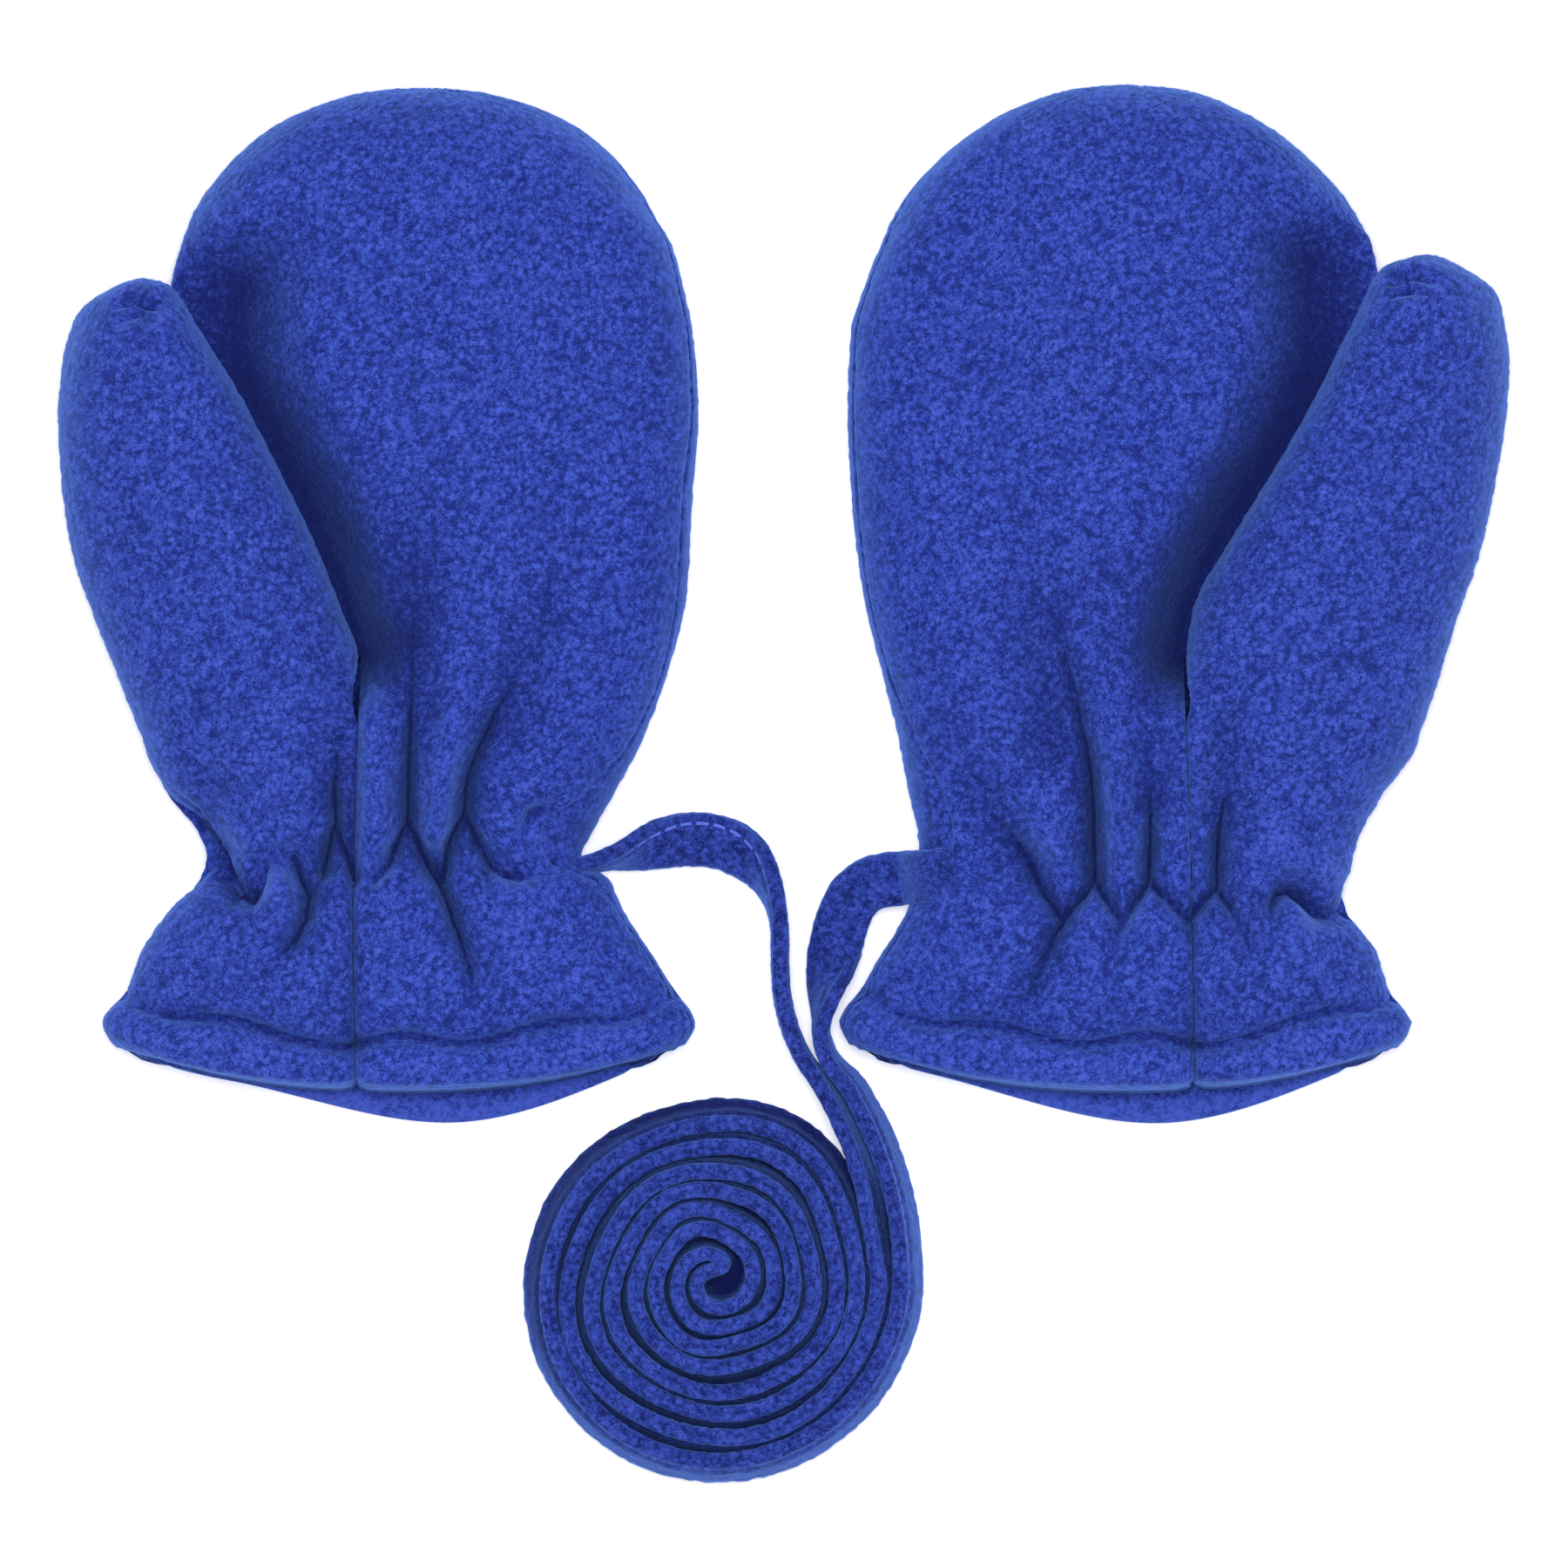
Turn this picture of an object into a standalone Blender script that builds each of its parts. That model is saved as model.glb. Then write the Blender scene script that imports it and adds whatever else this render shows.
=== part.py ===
"""A pair of a small child's fleece mittens, laid flat with the palms up, joined by a fleece string.

X is to the right, Y runs from the cuffs to the fingertips and Z is up. The cloth lies on Z = 0, and
the origin is under the middle of the two mittens. The tables and functions are in millimetres.

Each mitten has a measure of its own across the hand, called out: nought on the hand's middle line
and positive towards the thumb. Its rows lie across the hand and are counted along Y.
"""

import math
from collections import namedtuple

import bmesh
import bpy
import numpy as np

# ------------------------------------------------------------------ driving dimensions, millimetres

METRES = 0.001              # one millimetre in the unit of the model

FLEECE = 2.0                # thickness of one layer of cloth
UNDER_FLEECE = 1.8          # the squashed layer between the thumb and the palm
SEAM_GAP = 0.3              # between neighbouring pieces
SEAM_HEIGHT = 5.0           # side seams above the surface that the mittens lie on
BOTTOM_REACH = 6.0          # width of the back panel's rounded border
TOP_REACH = 15.0            # width of the palm's rounded border
TOP_REACH_SHARE = 0.75      # the most of a half section that this border takes
BORDER = 0.6                # where that border starts, as a share of the way from middle to edge

TIP_ROUND = 25.0            # length of the rounding at the fingertips
BACK_TIP_ROUND = 7.0        # the same on the underside
PRESSED_HEIGHT = 7.2        # the palm's top face where the thumb lies on it
PRESSED_SLOPE = 10.0        # width over which the palm rises beside the thumb, at the crotch
PRESSED_WIDEN = 5.0         # how much wider that slope is at the fingers
WIDEN_START = -6.0          # the rows between which it widens
WIDEN_END = 25.0
PRESSED_BELOW_TIP = 4.0     # the palm rises again from this far before the thumb's tip
PRESSED_PAST_TIP = 12.0     # to this far past it
TUCK_FADE = 4.0             # the folds end this far before the palm goes in under the thumb
THUMB_LIFT = 0.6            # the thumb's inner edge above the pressed palm
CROTCH = -9.0               # the row where the thumb parts from the hand
THUMB_START = -20.0         # the row where the lower palm starts to turn into the thumb
THUMB_CLEAR = -6.0          # the row where the thumb is a full tube
THUMB_CROWN = 13.0          # height of the thumb over its lower edges
THUMB_ROUND = 15.0          # length of the rounding at the thumb's tip
THUMB_SLACK = 1.6           # between the two halves of the thumb
THUMB_TUCK = 4.5            # how much further in the lower half's outer edge lies at the crotch
THUMB_TIP_SLACK = 6.0       # how far before the tip the lower half ends
UNDER_START = -5.5          # the row where the lower half starts
THUMB_DROOP = 6.0           # how far the thumb's lower half hangs down beside the hand
DROOP_WIDTH = 13.0          # the width over which it comes down

HEM_DEPTH = 8.8             # from the hem's edge to its stitch line
HEM_SWELL = 0.6             # how much the turned-up hem is thicker than the cuff
HEM_ROUND = 2.5             # the swell rises over this length from the hem's edge
HEM_FALL = 1.5              # and falls over this length past the stitches
STITCH_DEPTH = 0.9          # the groove that the stitches pull in
STITCH_WIDTH = 0.9
SEAM_DIP = 0.8              # the cloth dips beside the middle seam
SEAM_DIP_WIDTH = 1.8
BACK_DROP = 5.0             # how far the back panel's hem shows below the palm's
DROP_REACH = 38.0           # half width of the stretch where it shows
DROP_FADE = 25.0            # the back panel's rows shift less and less over this length
FOLD_SHARE = 0.75           # how much of a fold is seen on the wall's inner face
FOLD_FADE = 25.0            # the folds fade over this length on the thumb

STRING_WIDTH = 9.3          # the folded and stitched strip, lying flat
STRING_THICKNESS = 3.1
STRING_SHOULDER = 1.2       # the strip's rounded edges
COIL_CENTRE = (-11.5, -112.5)
COIL_TURNS = 3.85           # turns of the doubled string, from its outside to its folded end
COIL_OUTER = 28.6           # radius of the doubled string's top edge, at its start
COIL_INNER = 3.2            # and at its folded end
COIL_EASE = 0.2             # how much wider apart the outer turns lie than the inner ones
COIL_SLACK = 0.1            # left between its strands besides the seam gap
COIL_LEAN = 20.0            # degrees that its start leans outwards at the foot; its end stands upright
COIL_STEPS = 24             # sections in one turn
FOLD_STEPS = 6              # sections round the folded end
FREE_SECTIONS = 26          # sections of each free stretch

NORMAL_STEP = 0.001         # small step for reading which way a surface faces
TINY = 1e-12                # keeps a division by a length away from nought

# ------------------------------------------------------------------------------- tables of sections

# One row for each section across a mitten. along is its place on the middle line, and its ends lie
# bow further up. string_edge and thumb_edge are the ends, crown is the height of the palm's rounded
# border over the side seams, dome is how much more the middle rises, and wrap is how far the back
# panel comes round the string side on to the palm.
HandRow = namedtuple("HandRow", "along bow string_edge thumb_edge crown dome wrap")

LEFT_HAND = [
    HandRow(-81.5, 6.4, -38.9, 49.8, 6.2, 0.8, 0.6),
    HandRow(-81.0, 7.0, -41.2, 52.1, 6.7, 0.8, 0.6),
    HandRow(-79.8, 7.9, -43.1, 54.0, 7.3, 0.9, 0.6),
    HandRow(-78.0, 8.3, -43.8, 54.7, 7.9, 1.0, 0.6),
    HandRow(-75.8, 8.3, -42.9, 53.6, 8.1, 1.0, 0.6),
    HandRow(-72.7, 8.0, -40.8, 51.0, 8.4, 1.2, 0.6),
    HandRow(-64.0, 6.5, -36.1, 48.0, 9.8, 2.2, 0.6),
    HandRow(-55.0, 4.5, -31.6, 43.2, 10.0, 2.5, 0.8),
    HandRow(-48.0, 2.0, -29.6, 38.8, 9.2, 2.0, 2.0),
    HandRow(-42.0, 0.0, -24.9, 37.5, 8.2, 1.2, 6.0),
    HandRow(-37.0, -1.0, -26.7, 38.9, 9.0, 1.8, 8.0),
    HandRow(-30.0, -2.0, -30.1, 43.7, 10.5, 3.2, 4.4),
    HandRow(-20.0, -2.5, -35.1, 48.0, 11.6, 4.0, 1.5),
    HandRow(-9.0, -2.5, -39.2, 49.2, 12.0, 4.2, 0.8),
    HandRow(5.0, -2.5, -42.5, 47.6, 12.0, 4.2, 1.5),
    HandRow(20.0, -3.0, -43.3, 45.8, 12.0, 4.2, 1.5),
    HandRow(35.0, -4.0, -44.3, 44.8, 12.0, 4.2, 1.0),
    HandRow(50.0, -6.0, -43.5, 44.1, 12.0, 4.2, 0.8),
    HandRow(62.0, -9.0, -41.7, 43.2, 12.0, 4.2, 0.8),
    HandRow(71.0, -12.0, -40.1, 41.7, 12.0, 4.2, 0.8),
    HandRow(78.0, -14.0, -37.3, 39.9, 12.0, 4.2, 0.8),
    HandRow(82.5, -12.0, -33.3, 35.7, 12.0, 4.2, 0.8),
    HandRow(85.0, -7.0, -25.9, 28.0, 12.0, 4.2, 0.8),
    HandRow(85.6, -3.0, -16.1, 19.0, 12.0, 4.2, 0.8),
]

RIGHT_HAND = [
    HandRow(-81.5, 6.4, -40.7, 44.6, 6.2, 0.8, 0.6),
    HandRow(-81.0, 7.0, -42.9, 46.9, 6.7, 0.8, 0.6),
    HandRow(-79.8, 7.9, -44.8, 48.8, 7.3, 0.9, 0.6),
    HandRow(-78.0, 8.3, -45.5, 49.5, 7.9, 1.0, 0.6),
    HandRow(-75.8, 8.3, -44.6, 48.4, 8.1, 1.0, 0.6),
    HandRow(-72.7, 8.0, -42.4, 46.1, 8.4, 1.2, 0.6),
    HandRow(-64.0, 6.5, -38.0, 43.5, 9.8, 2.2, 0.6),
    HandRow(-55.0, 4.5, -34.0, 38.6, 10.0, 2.5, 0.8),
    HandRow(-49.0, 2.5, -32.6, 37.6, 9.2, 2.0, 2.0),
    HandRow(-43.5, 0.0, -32.0, 39.2, 8.2, 1.2, 4.5),
    HandRow(-37.0, -1.0, -32.5, 41.2, 9.2, 2.0, 5.5),
    HandRow(-30.0, -2.0, -33.9, 44.6, 10.5, 3.2, 5.0),
    HandRow(-20.0, -2.5, -35.7, 50.7, 11.6, 4.0, 2.6),
    HandRow(-9.0, -2.5, -38.4, 51.2, 12.0, 4.2, 1.0),
    HandRow(5.0, -2.5, -41.7, 48.7, 12.0, 4.2, 0.8),
    HandRow(20.0, -3.0, -43.4, 46.4, 12.0, 4.2, 0.8),
    HandRow(35.0, -4.0, -44.1, 45.0, 12.0, 4.2, 0.8),
    HandRow(50.0, -6.0, -43.7, 44.5, 12.0, 4.2, 0.8),
    HandRow(62.0, -9.0, -41.2, 44.0, 12.0, 4.2, 0.8),
    HandRow(71.0, -12.0, -38.8, 43.1, 12.0, 4.2, 0.8),
    HandRow(78.0, -14.0, -36.6, 40.6, 12.0, 4.2, 0.8),
    HandRow(82.5, -12.0, -32.1, 35.8, 12.0, 4.2, 0.8),
    HandRow(85.2, -7.0, -23.3, 27.2, 12.0, 4.2, 0.8),
    HandRow(86.1, -3.0, -14.1, 18.5, 12.0, 4.2, 0.8),
]

# One row for each section across a thumb. Its ends lie bow further up than its middle, and its outer
# end lies tilt further up and its inner end tilt further down. inner and outer are the ends, and base
# is the height of the outer edge of the thumb's upper half.
ThumbRow = namedtuple("ThumbRow", "along bow tilt inner outer base")

LEFT_THUMB = [
    ThumbRow(-20.6, -0.6, -1.2, 11.9, 48.0, 5.0),
    ThumbRow(-9.7, -0.6, -1.2, 11.9, 52.4, 5.0),
    ThumbRow(-1.5, -0.8, -1.5, 14.8, 55.5, 4.2),
    ThumbRow(10.5, -0.8, -1.5, 19.7, 59.7, 3.2),
    ThumbRow(22.5, -0.8, -1.5, 25.6, 61.6, 2.4),
    ThumbRow(33.0, -1.0, -1.5, 30.9, 62.2, 2.0),
    ThumbRow(41.5, -1.5, -1.5, 35.8, 61.6, 2.0),
    ThumbRow(47.5, -2.0, -1.5, 39.2, 60.5, 2.2),
    ThumbRow(51.5, -2.2, -1.3, 41.4, 58.9, 2.6),
    ThumbRow(53.2, -1.8, -1.0, 42.7, 56.5, 3.2),
    ThumbRow(53.9, -1.2, -0.8, 44.8, 53.5, 3.8),
]

RIGHT_THUMB = [
    ThumbRow(-20.6, -0.6, -1.2, 11.8, 50.7, 5.0),
    ThumbRow(-9.7, -0.6, -1.2, 11.8, 54.4, 5.0),
    ThumbRow(-1.5, -0.8, -1.5, 13.1, 56.7, 4.2),
    ThumbRow(10.5, -0.8, -1.5, 19.6, 60.9, 3.2),
    ThumbRow(22.5, -0.8, -1.5, 27.0, 63.6, 2.4),
    ThumbRow(33.0, -1.0, -1.5, 32.9, 65.3, 2.0),
    ThumbRow(43.0, -1.5, -1.5, 37.6, 65.9, 2.0),
    ThumbRow(50.5, -2.0, -1.5, 41.1, 65.0, 2.2),
    ThumbRow(55.0, -2.2, -1.3, 43.1, 63.8, 2.6),
    ThumbRow(57.0, -1.8, -1.0, 45.2, 60.7, 3.2),
    ThumbRow(57.8, -1.2, -0.8, 48.7, 57.7, 3.8),
]

# The line on the palm where the middle seam, and above it the thumb's inner edge, lies.
GuideRow = namedtuple("GuideRow", "along out")

LEFT_GUIDE = [
    GuideRow(-81.5, 12.4),
    GuideRow(-50.0, 12.9),
    GuideRow(-9.0, 11.7),
    GuideRow(0.0, 14.7),
    GuideRow(10.0, 18.9),
    GuideRow(20.0, 23.7),
    GuideRow(30.0, 28.8),
    GuideRow(46.0, 34.0),
    GuideRow(62.0, 33.0),
    GuideRow(78.0, 26.0),
    GuideRow(86.5, 8.0),
]

RIGHT_GUIDE = [
    GuideRow(-81.5, 13.4),
    GuideRow(-50.0, 12.9),
    GuideRow(-9.0, 11.6),
    GuideRow(0.0, 13.3),
    GuideRow(10.0, 18.4),
    GuideRow(20.0, 24.4),
    GuideRow(30.0, 30.6),
    GuideRow(48.0, 35.5),
    GuideRow(62.0, 34.0),
    GuideRow(78.0, 26.0),
    GuideRow(86.5, 8.0),
]

# One row for each gather or crease. It is deepest at along and out, and runs from there up to the
# place up, reach_up further on, and down to the place down. width is its half width, and depth is
# negative for a raised ridge.
Fold = namedtuple("Fold", "along out up reach_up down reach_down width depth")

LEFT_FOLDS = [
    Fold(-43.0, 18.3, 14.9, 18.0, 14.5, 18.0, 2.2, 2.0),
    Fold(-42.0, 1.2, 2.6, 52.0, -7.5, 25.0, 2.6, 2.6),
    Fold(-41.0, -7.5, -21.0, 42.0, -12.0, 10.0, 2.2, 2.2),
    Fold(-39.0, -15.0, -31.0, 26.0, -20.0, 8.0, 2.0, 1.4),
    Fold(-42.5, -17.6, -18.0, 6.0, -18.0, 6.0, 3.0, -1.3),
    Fold(-38.0, 8.6, 10.0, 45.0, 8.0, 8.0, 3.2, -1.1),
    Fold(-46.5, 30.5, 26.0, 6.0, 34.0, 8.0, 2.4, 2.2),
    Fold(-45.0, 21.8, 22.0, 6.0, 28.0, 20.0, 2.6, 1.8),
    Fold(-39.0, 29.0, 32.0, 12.0, 24.0, 6.0, 3.6, -1.2),
]

RIGHT_FOLDS = [
    Fold(-44.0, -4.2, -14.5, 56.0, -16.5, 27.0, 3.0, 2.6),
    Fold(-45.0, -2.6, -3.6, 10.0, 1.6, 11.0, 2.0, 1.6),
    Fold(-44.0, 6.2, 4.7, 22.0, 9.8, 9.0, 2.2, 2.0),
    Fold(-43.0, 17.5, 18.5, 17.0, 13.5, 9.0, 2.2, 2.1),
    Fold(-46.0, 18.8, 17.5, 8.0, 22.5, 9.0, 2.0, 1.3),
    Fold(-41.5, -15.6, -25.0, 13.0, -9.8, 10.0, 2.4, 1.7),
    Fold(-49.0, 30.0, 30.0, 6.0, 31.0, 6.0, 3.0, -1.4),
    Fold(-61.5, 17.4, 15.6, 6.0, 19.2, 6.0, 2.4, 1.3),
    Fold(-38.0, 12.0, 11.0, 24.0, 12.0, 7.0, 3.2, -0.9),
]

# The string's free stretches, from each wrist to the coil. lift is the height of the strip's lowest
# edge, and roll turns it from lying flat, at 0 or 180 degrees, to standing on its edge, at 90.
RoutePoint = namedtuple("RoutePoint", "x y lift roll")

LEFT_ROUTE = [
    RoutePoint(-31.0, -42.9, 0.6, 85.0),
    RoutePoint(-27.8, -42.1, 0.6, 74.0),
    RoutePoint(-24.2, -41.0, 0.6, 52.0),
    RoutePoint(-19.5, -39.7, 0.5, 24.0),
    RoutePoint(-14.4, -39.1, 0.3, 4.0),
    RoutePoint(-9.6, -40.0, 0.1, 12.0),
    RoutePoint(-5.4, -42.6, 0.0, 40.0),
    RoutePoint(-2.6, -46.6, 0.0, 70.0),
    RoutePoint(-0.9, -51.8, 0.0, 86.0),
    RoutePoint(-0.6, -57.6, 0.0, 90.0),
    RoutePoint(-0.3, -64.8, 0.0, 90.0),
    RoutePoint(1.1, -70.6, 0.0, 90.0),
    RoutePoint(3.2, -75.4, 0.0, 92.0),
    RoutePoint(6.4, -80.0, 0.0, 96.0),
    RoutePoint(9.2, -84.8, 0.0, 101.0),
    RoutePoint(11.9, -90.4, 0.0, 105.0),
    RoutePoint(14.1, -96.9, 0.0, 108.0),
    RoutePoint(15.6, -104.2, 0.0, 109.0),
]

RIGHT_ROUTE = [
    RoutePoint(20.1, -45.7, 3.2, 0.0),
    RoutePoint(17.1, -46.0, 2.6, 2.0),
    RoutePoint(14.1, -46.9, 1.6, 3.0),
    RoutePoint(11.8, -48.8, 0.6, 2.0),
    RoutePoint(10.3, -51.7, 0.1, 0.0),
    RoutePoint(9.1, -55.5, 0.0, 6.0),
    RoutePoint(8.1, -59.6, 0.0, 26.0),
    RoutePoint(7.2, -63.8, 0.0, 54.0),
    RoutePoint(6.6, -67.6, 0.0, 78.0),
    RoutePoint(6.2, -71.2, 0.0, 90.0),
    RoutePoint(7.5, -75.6, 0.0, 97.0),
    RoutePoint(11.2, -79.8, 0.0, 104.0),
    RoutePoint(14.0, -84.6, 0.0, 108.0),
    RoutePoint(16.5, -89.9, 0.0, 110.0),
    RoutePoint(18.4, -95.6, 0.0, 110.0),
    RoutePoint(19.8, -101.6, 0.0, 110.0),
    RoutePoint(20.5, -107.4, 0.0, 110.0),
]

# Where the coil's turns bulge out past its spiral: the place in turns from its start, and how wide
# and how far.
Bulge = namedtuple("Bulge", "turn width height")

COIL_BULGES = [
    Bulge(0.33, 0.17, 1.2),
    Bulge(0.86, 0.08, 1.2),
    Bulge(1.33, 0.17, 0.6),
    Bulge(1.86, 0.08, 0.6),
]

# drop_centre is where, across the hand, the back panel's hem shows most below the palm's.
Mitten = namedtuple("Mitten", "name middle side drop_centre hand thumb guide folds")

MITTENS = [
    Mitten("left", -58.5, -1.0, -4.0, LEFT_HAND, LEFT_THUMB, LEFT_GUIDE, LEFT_FOLDS),
    Mitten("right", 54.8, 1.0, 8.0, RIGHT_HAND, RIGHT_THUMB, RIGHT_GUIDE, RIGHT_FOLDS),
]

# Stretches of rows: where each ends and how many rows it has. A hand's last stretch is the rounded
# fingertip, whose rows close up towards its end, and a thumb's is its rounded tip.
Stretch = namedtuple("Stretch", "end rows")

HEM_START = -81.5
LOWER_STRETCHES = [
    Stretch(-80.5, 1),
    Stretch(-74.0, 2),
    Stretch(-71.4, 3),
    Stretch(-51.0, 4),
    Stretch(-35.0, 7),
    Stretch(THUMB_START, 3),
]
HAND_STRETCHES = [
    Stretch(CROTCH, 2),
    Stretch(20.0, 4),
    Stretch(61.0, 4),
]
THUMB_STRETCHES = [
    Stretch(THUMB_CLEAR, 5),
    Stretch(38.9, 5),
]
TIP_ROWS = 7
THUMB_TIP_ROWS = 6

FINGER_COLUMNS = 13         # columns of the palm from its middle seam to its string side
TUCKED_COLUMNS = 5          # columns of the palm that lie under the thumb
THUMB_COLUMNS = 11
UNDER_COLUMNS = 8
UNDER_ROWS = 9
TOP_COLUMNS = 1             # columns of the back panel that come round on to the palm's side
BORDER_COLUMNS = 3          # columns of its rounded border
FLAT_COLUMNS = 6            # columns of its flat underside

# ------------------------------------------------------------------------------- materials

Cloth = namedtuple("Cloth", "name colour roughness")

PALM_CLOTH = Cloth("palm_fleece", (0.033, 0.061, 0.413, 1.0), 0.95)
BACK_CLOTH = Cloth("back_fleece", (0.028, 0.052, 0.360, 1.0), 0.95)
THUMB_CLOTH = Cloth("thumb_fleece", (0.036, 0.067, 0.418, 1.0), 0.95)
STRING_CLOTH = Cloth("string_fleece", (0.027, 0.050, 0.340, 1.0), 0.95)


def cloth_material(cloth, name):
    """A dull dyed fleece in the cloth's colour."""
    material = bpy.data.materials.new(name)
    material.use_nodes = True
    shader = material.node_tree.nodes["Principled BSDF"]
    shader.inputs["Base Color"].default_value = cloth.colour
    shader.inputs["Roughness"].default_value = cloth.roughness
    shader.inputs["Metallic"].default_value = 0.0
    material.diffuse_color = cloth.colour
    return material


# ------------------------------------------------------------------------------- curves and steps


def smoothstep(start, end, value):
    """Rise from 0 at start to 1 at end, level at both."""
    share = np.clip((value - start) / (end - start), 0.0, 1.0)
    return share * share * (3.0 - 2.0 * share)


def hermite(keys, values, slopes, at):
    """A cubic through the values at the keys, with the given slopes, read at the places at."""
    cell = np.clip(np.searchsorted(keys, at, side="right") - 1, 0, len(keys) - 2)
    length = keys[cell + 1] - keys[cell]
    share = np.clip((at - keys[cell]) / length, 0.0, 1.0)
    rest = 1.0 - share
    return (values[cell] * rest * rest * (1.0 + 2.0 * share)
            + values[cell + 1] * share * share * (3.0 - 2.0 * share)
            + slopes[cell] * length * share * rest * rest
            - slopes[cell + 1] * length * share * share * rest)


def column(rows, name, at):
    """Read one column of a table between its rows, on a cubic that never swings past a row."""
    keys = np.array([row.along for row in rows])
    values = np.array([getattr(row, name) for row in rows])
    length = np.diff(keys)
    rise = np.diff(values) / length
    slopes = np.concatenate(([rise[0]], np.zeros(len(keys) - 2), [rise[-1]]))
    same_way = rise[:-1] * rise[1:] > 0.0
    before = np.where(same_way, rise[:-1], 1.0)
    after = np.where(same_way, rise[1:], 1.0)
    weight_before = 2.0 * length[1:] + length[:-1]
    weight_after = length[1:] + 2.0 * length[:-1]
    mean = (weight_before + weight_after) / (weight_before / before + weight_after / after)
    slopes[1:-1] = np.where(same_way, mean, 0.0)
    return hermite(keys, values, slopes, np.asarray(at, dtype=float))


def path_through(points, count):
    """Read count places on a smooth curve through the points, which may have any number of columns."""
    points = np.array(points, dtype=float)
    steps = np.linalg.norm(np.diff(points[:, :2], axis=0), axis=1)
    keys = np.concatenate(([0.0], np.cumsum(steps)))
    at = np.linspace(0.0, keys[-1], count)
    columns = [hermite(keys, values, np.gradient(values, keys), at) for values in points.T]
    return np.stack(columns, axis=1)


def stations(start, stretches):
    """The rows of a piece, evenly spaced within each stretch."""
    rows = [start]
    for stretch in stretches:
        share = np.arange(1, stretch.rows + 1) / stretch.rows
        rows.extend(rows[-1] + (stretch.end - rows[-1]) * share)
    return np.array(rows)


def rounded_stations(start, end, rows):
    """Rows that close up towards the end of a rounded tip."""
    angle = np.arange(1, rows + 1) / rows * math.pi / 2.0
    return start + (end - start) * np.sin(angle)


# ------------------------------------------------------------------------------- one mitten's form


def tip_share(along, end, length):
    """How far a row is into the rounding at a form's end, from 0 to 1."""
    return np.clip((along - (end - length)) / length, 0.0, 1.0)


def tip_lift(along, end, length):
    """The share of its full height that a form has near its rounded end: an ellipse's quarter."""
    share = tip_share(along, end, length)
    return np.sqrt(1.0 - share * share)


def across(share, half, reach):
    """Place and lift of a section at a share of the way from its middle (0) to its edge (1 or -1).

    The middle part is level, and the border is an ellipse's quarter that is as wide as reach.
    """
    level = np.minimum(np.abs(share) / BORDER, 1.0) * (half - reach)
    angle = np.clip((np.abs(share) - BORDER) / (1.0 - BORDER), 0.0, 1.0) * math.pi / 2.0
    return np.sign(share) * (level + reach * np.sin(angle)), np.cos(angle)


def share_across(offset, half, reach):
    """The share at which a section passes a place: the inverse of across."""
    size = np.abs(offset)
    level = np.minimum(size / (half - reach), 1.0) * BORDER
    angle = np.arcsin(np.clip((size - (half - reach)) / reach, 0.0, 1.0))
    return np.sign(offset) * (level + (1.0 - BORDER) * angle / (math.pi / 2.0))


def arch(turn):
    """How a row bends from its middle (0) to its ends (1): little at first and then more."""
    return turn * turn * (1.0 + np.abs(turn)) / 2.0


def hand_section(mitten, along):
    """Middle and half width of the hand's sections, and the width of the palm's rounded border."""
    string_edge = column(mitten.hand, "string_edge", along)
    thumb_edge = column(mitten.hand, "thumb_edge", along)
    half = (thumb_edge - string_edge) / 2.0
    return (thumb_edge + string_edge) / 2.0, half, np.minimum(TOP_REACH, TOP_REACH_SHARE * half)


def palm_height(mitten, along, turn, lift, inset):
    """Height of the palm's top face, or of a face inset below it, before the thumb presses on it."""
    tip = tip_lift(along, mitten.hand[-1].along, TIP_ROUND)
    crown = column(mitten.hand, "crown", along) - inset
    dome = column(mitten.hand, "dome", along)
    return SEAM_HEIGHT + tip * (crown * lift + dome * (1.0 - turn * turn))


def palm_surface(mitten, along, share, inset=0.0):
    """The palm's unpressed top face, or a face inset inside it: out, Y and height."""
    middle, half, reach = hand_section(mitten, along)
    offset, lift = across(share, half - inset, reach - inset)
    turn = offset / (half - inset)
    place = along + column(mitten.hand, "bow", along) * arch(turn)
    place = place - inset * tip_share(along, mitten.hand[-1].along, TIP_ROUND)
    height = palm_height(mitten, along, turn, lift, inset)
    return np.stack([middle + offset, place, height], axis=-1)


def back_surface(mitten, along, share, inset=0.0):
    """The back panel's underside, flat on the ground and rounded up to the side seams."""
    middle, half, reach = hand_section(mitten, along)
    offset, lift = across(share, half - inset, BOTTOM_REACH - inset)
    turn = offset / (half - inset)
    end = mitten.hand[-1].along
    place = along + column(mitten.hand, "bow", along) * arch(turn)
    place = place - inset * tip_share(along, end, BACK_TIP_ROUND)
    seam = SEAM_HEIGHT - SEAM_GAP
    height = seam - (seam - inset) * lift * tip_lift(along, end, BACK_TIP_ROUND)
    return np.stack([middle + offset, place, height], axis=-1)


def pressed(mitten, along, surface, inset=0.0):
    """Lower the palm where the thumb lies on it, and in a slope beside the thumb, up to its tip."""
    beside = column(mitten.guide, "out", along) - surface[..., 0]
    slope = PRESSED_SLOPE + PRESSED_WIDEN * smoothstep(WIDEN_START, WIDEN_END, along)
    share = 1.0 - smoothstep(0.0, 1.0, beside / slope)
    share = share * smoothstep(THUMB_START, CROTCH, along)
    top = mitten.thumb[-1].along
    past = smoothstep(top - PRESSED_BELOW_TIP, top + PRESSED_PAST_TIP, surface[..., 1])
    share = share * (1.0 - past)
    lowered = surface.copy()
    lowered[..., 2] -= share * np.maximum(surface[..., 2] - PRESSED_HEIGHT + inset, 0.0)
    return lowered


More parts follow.
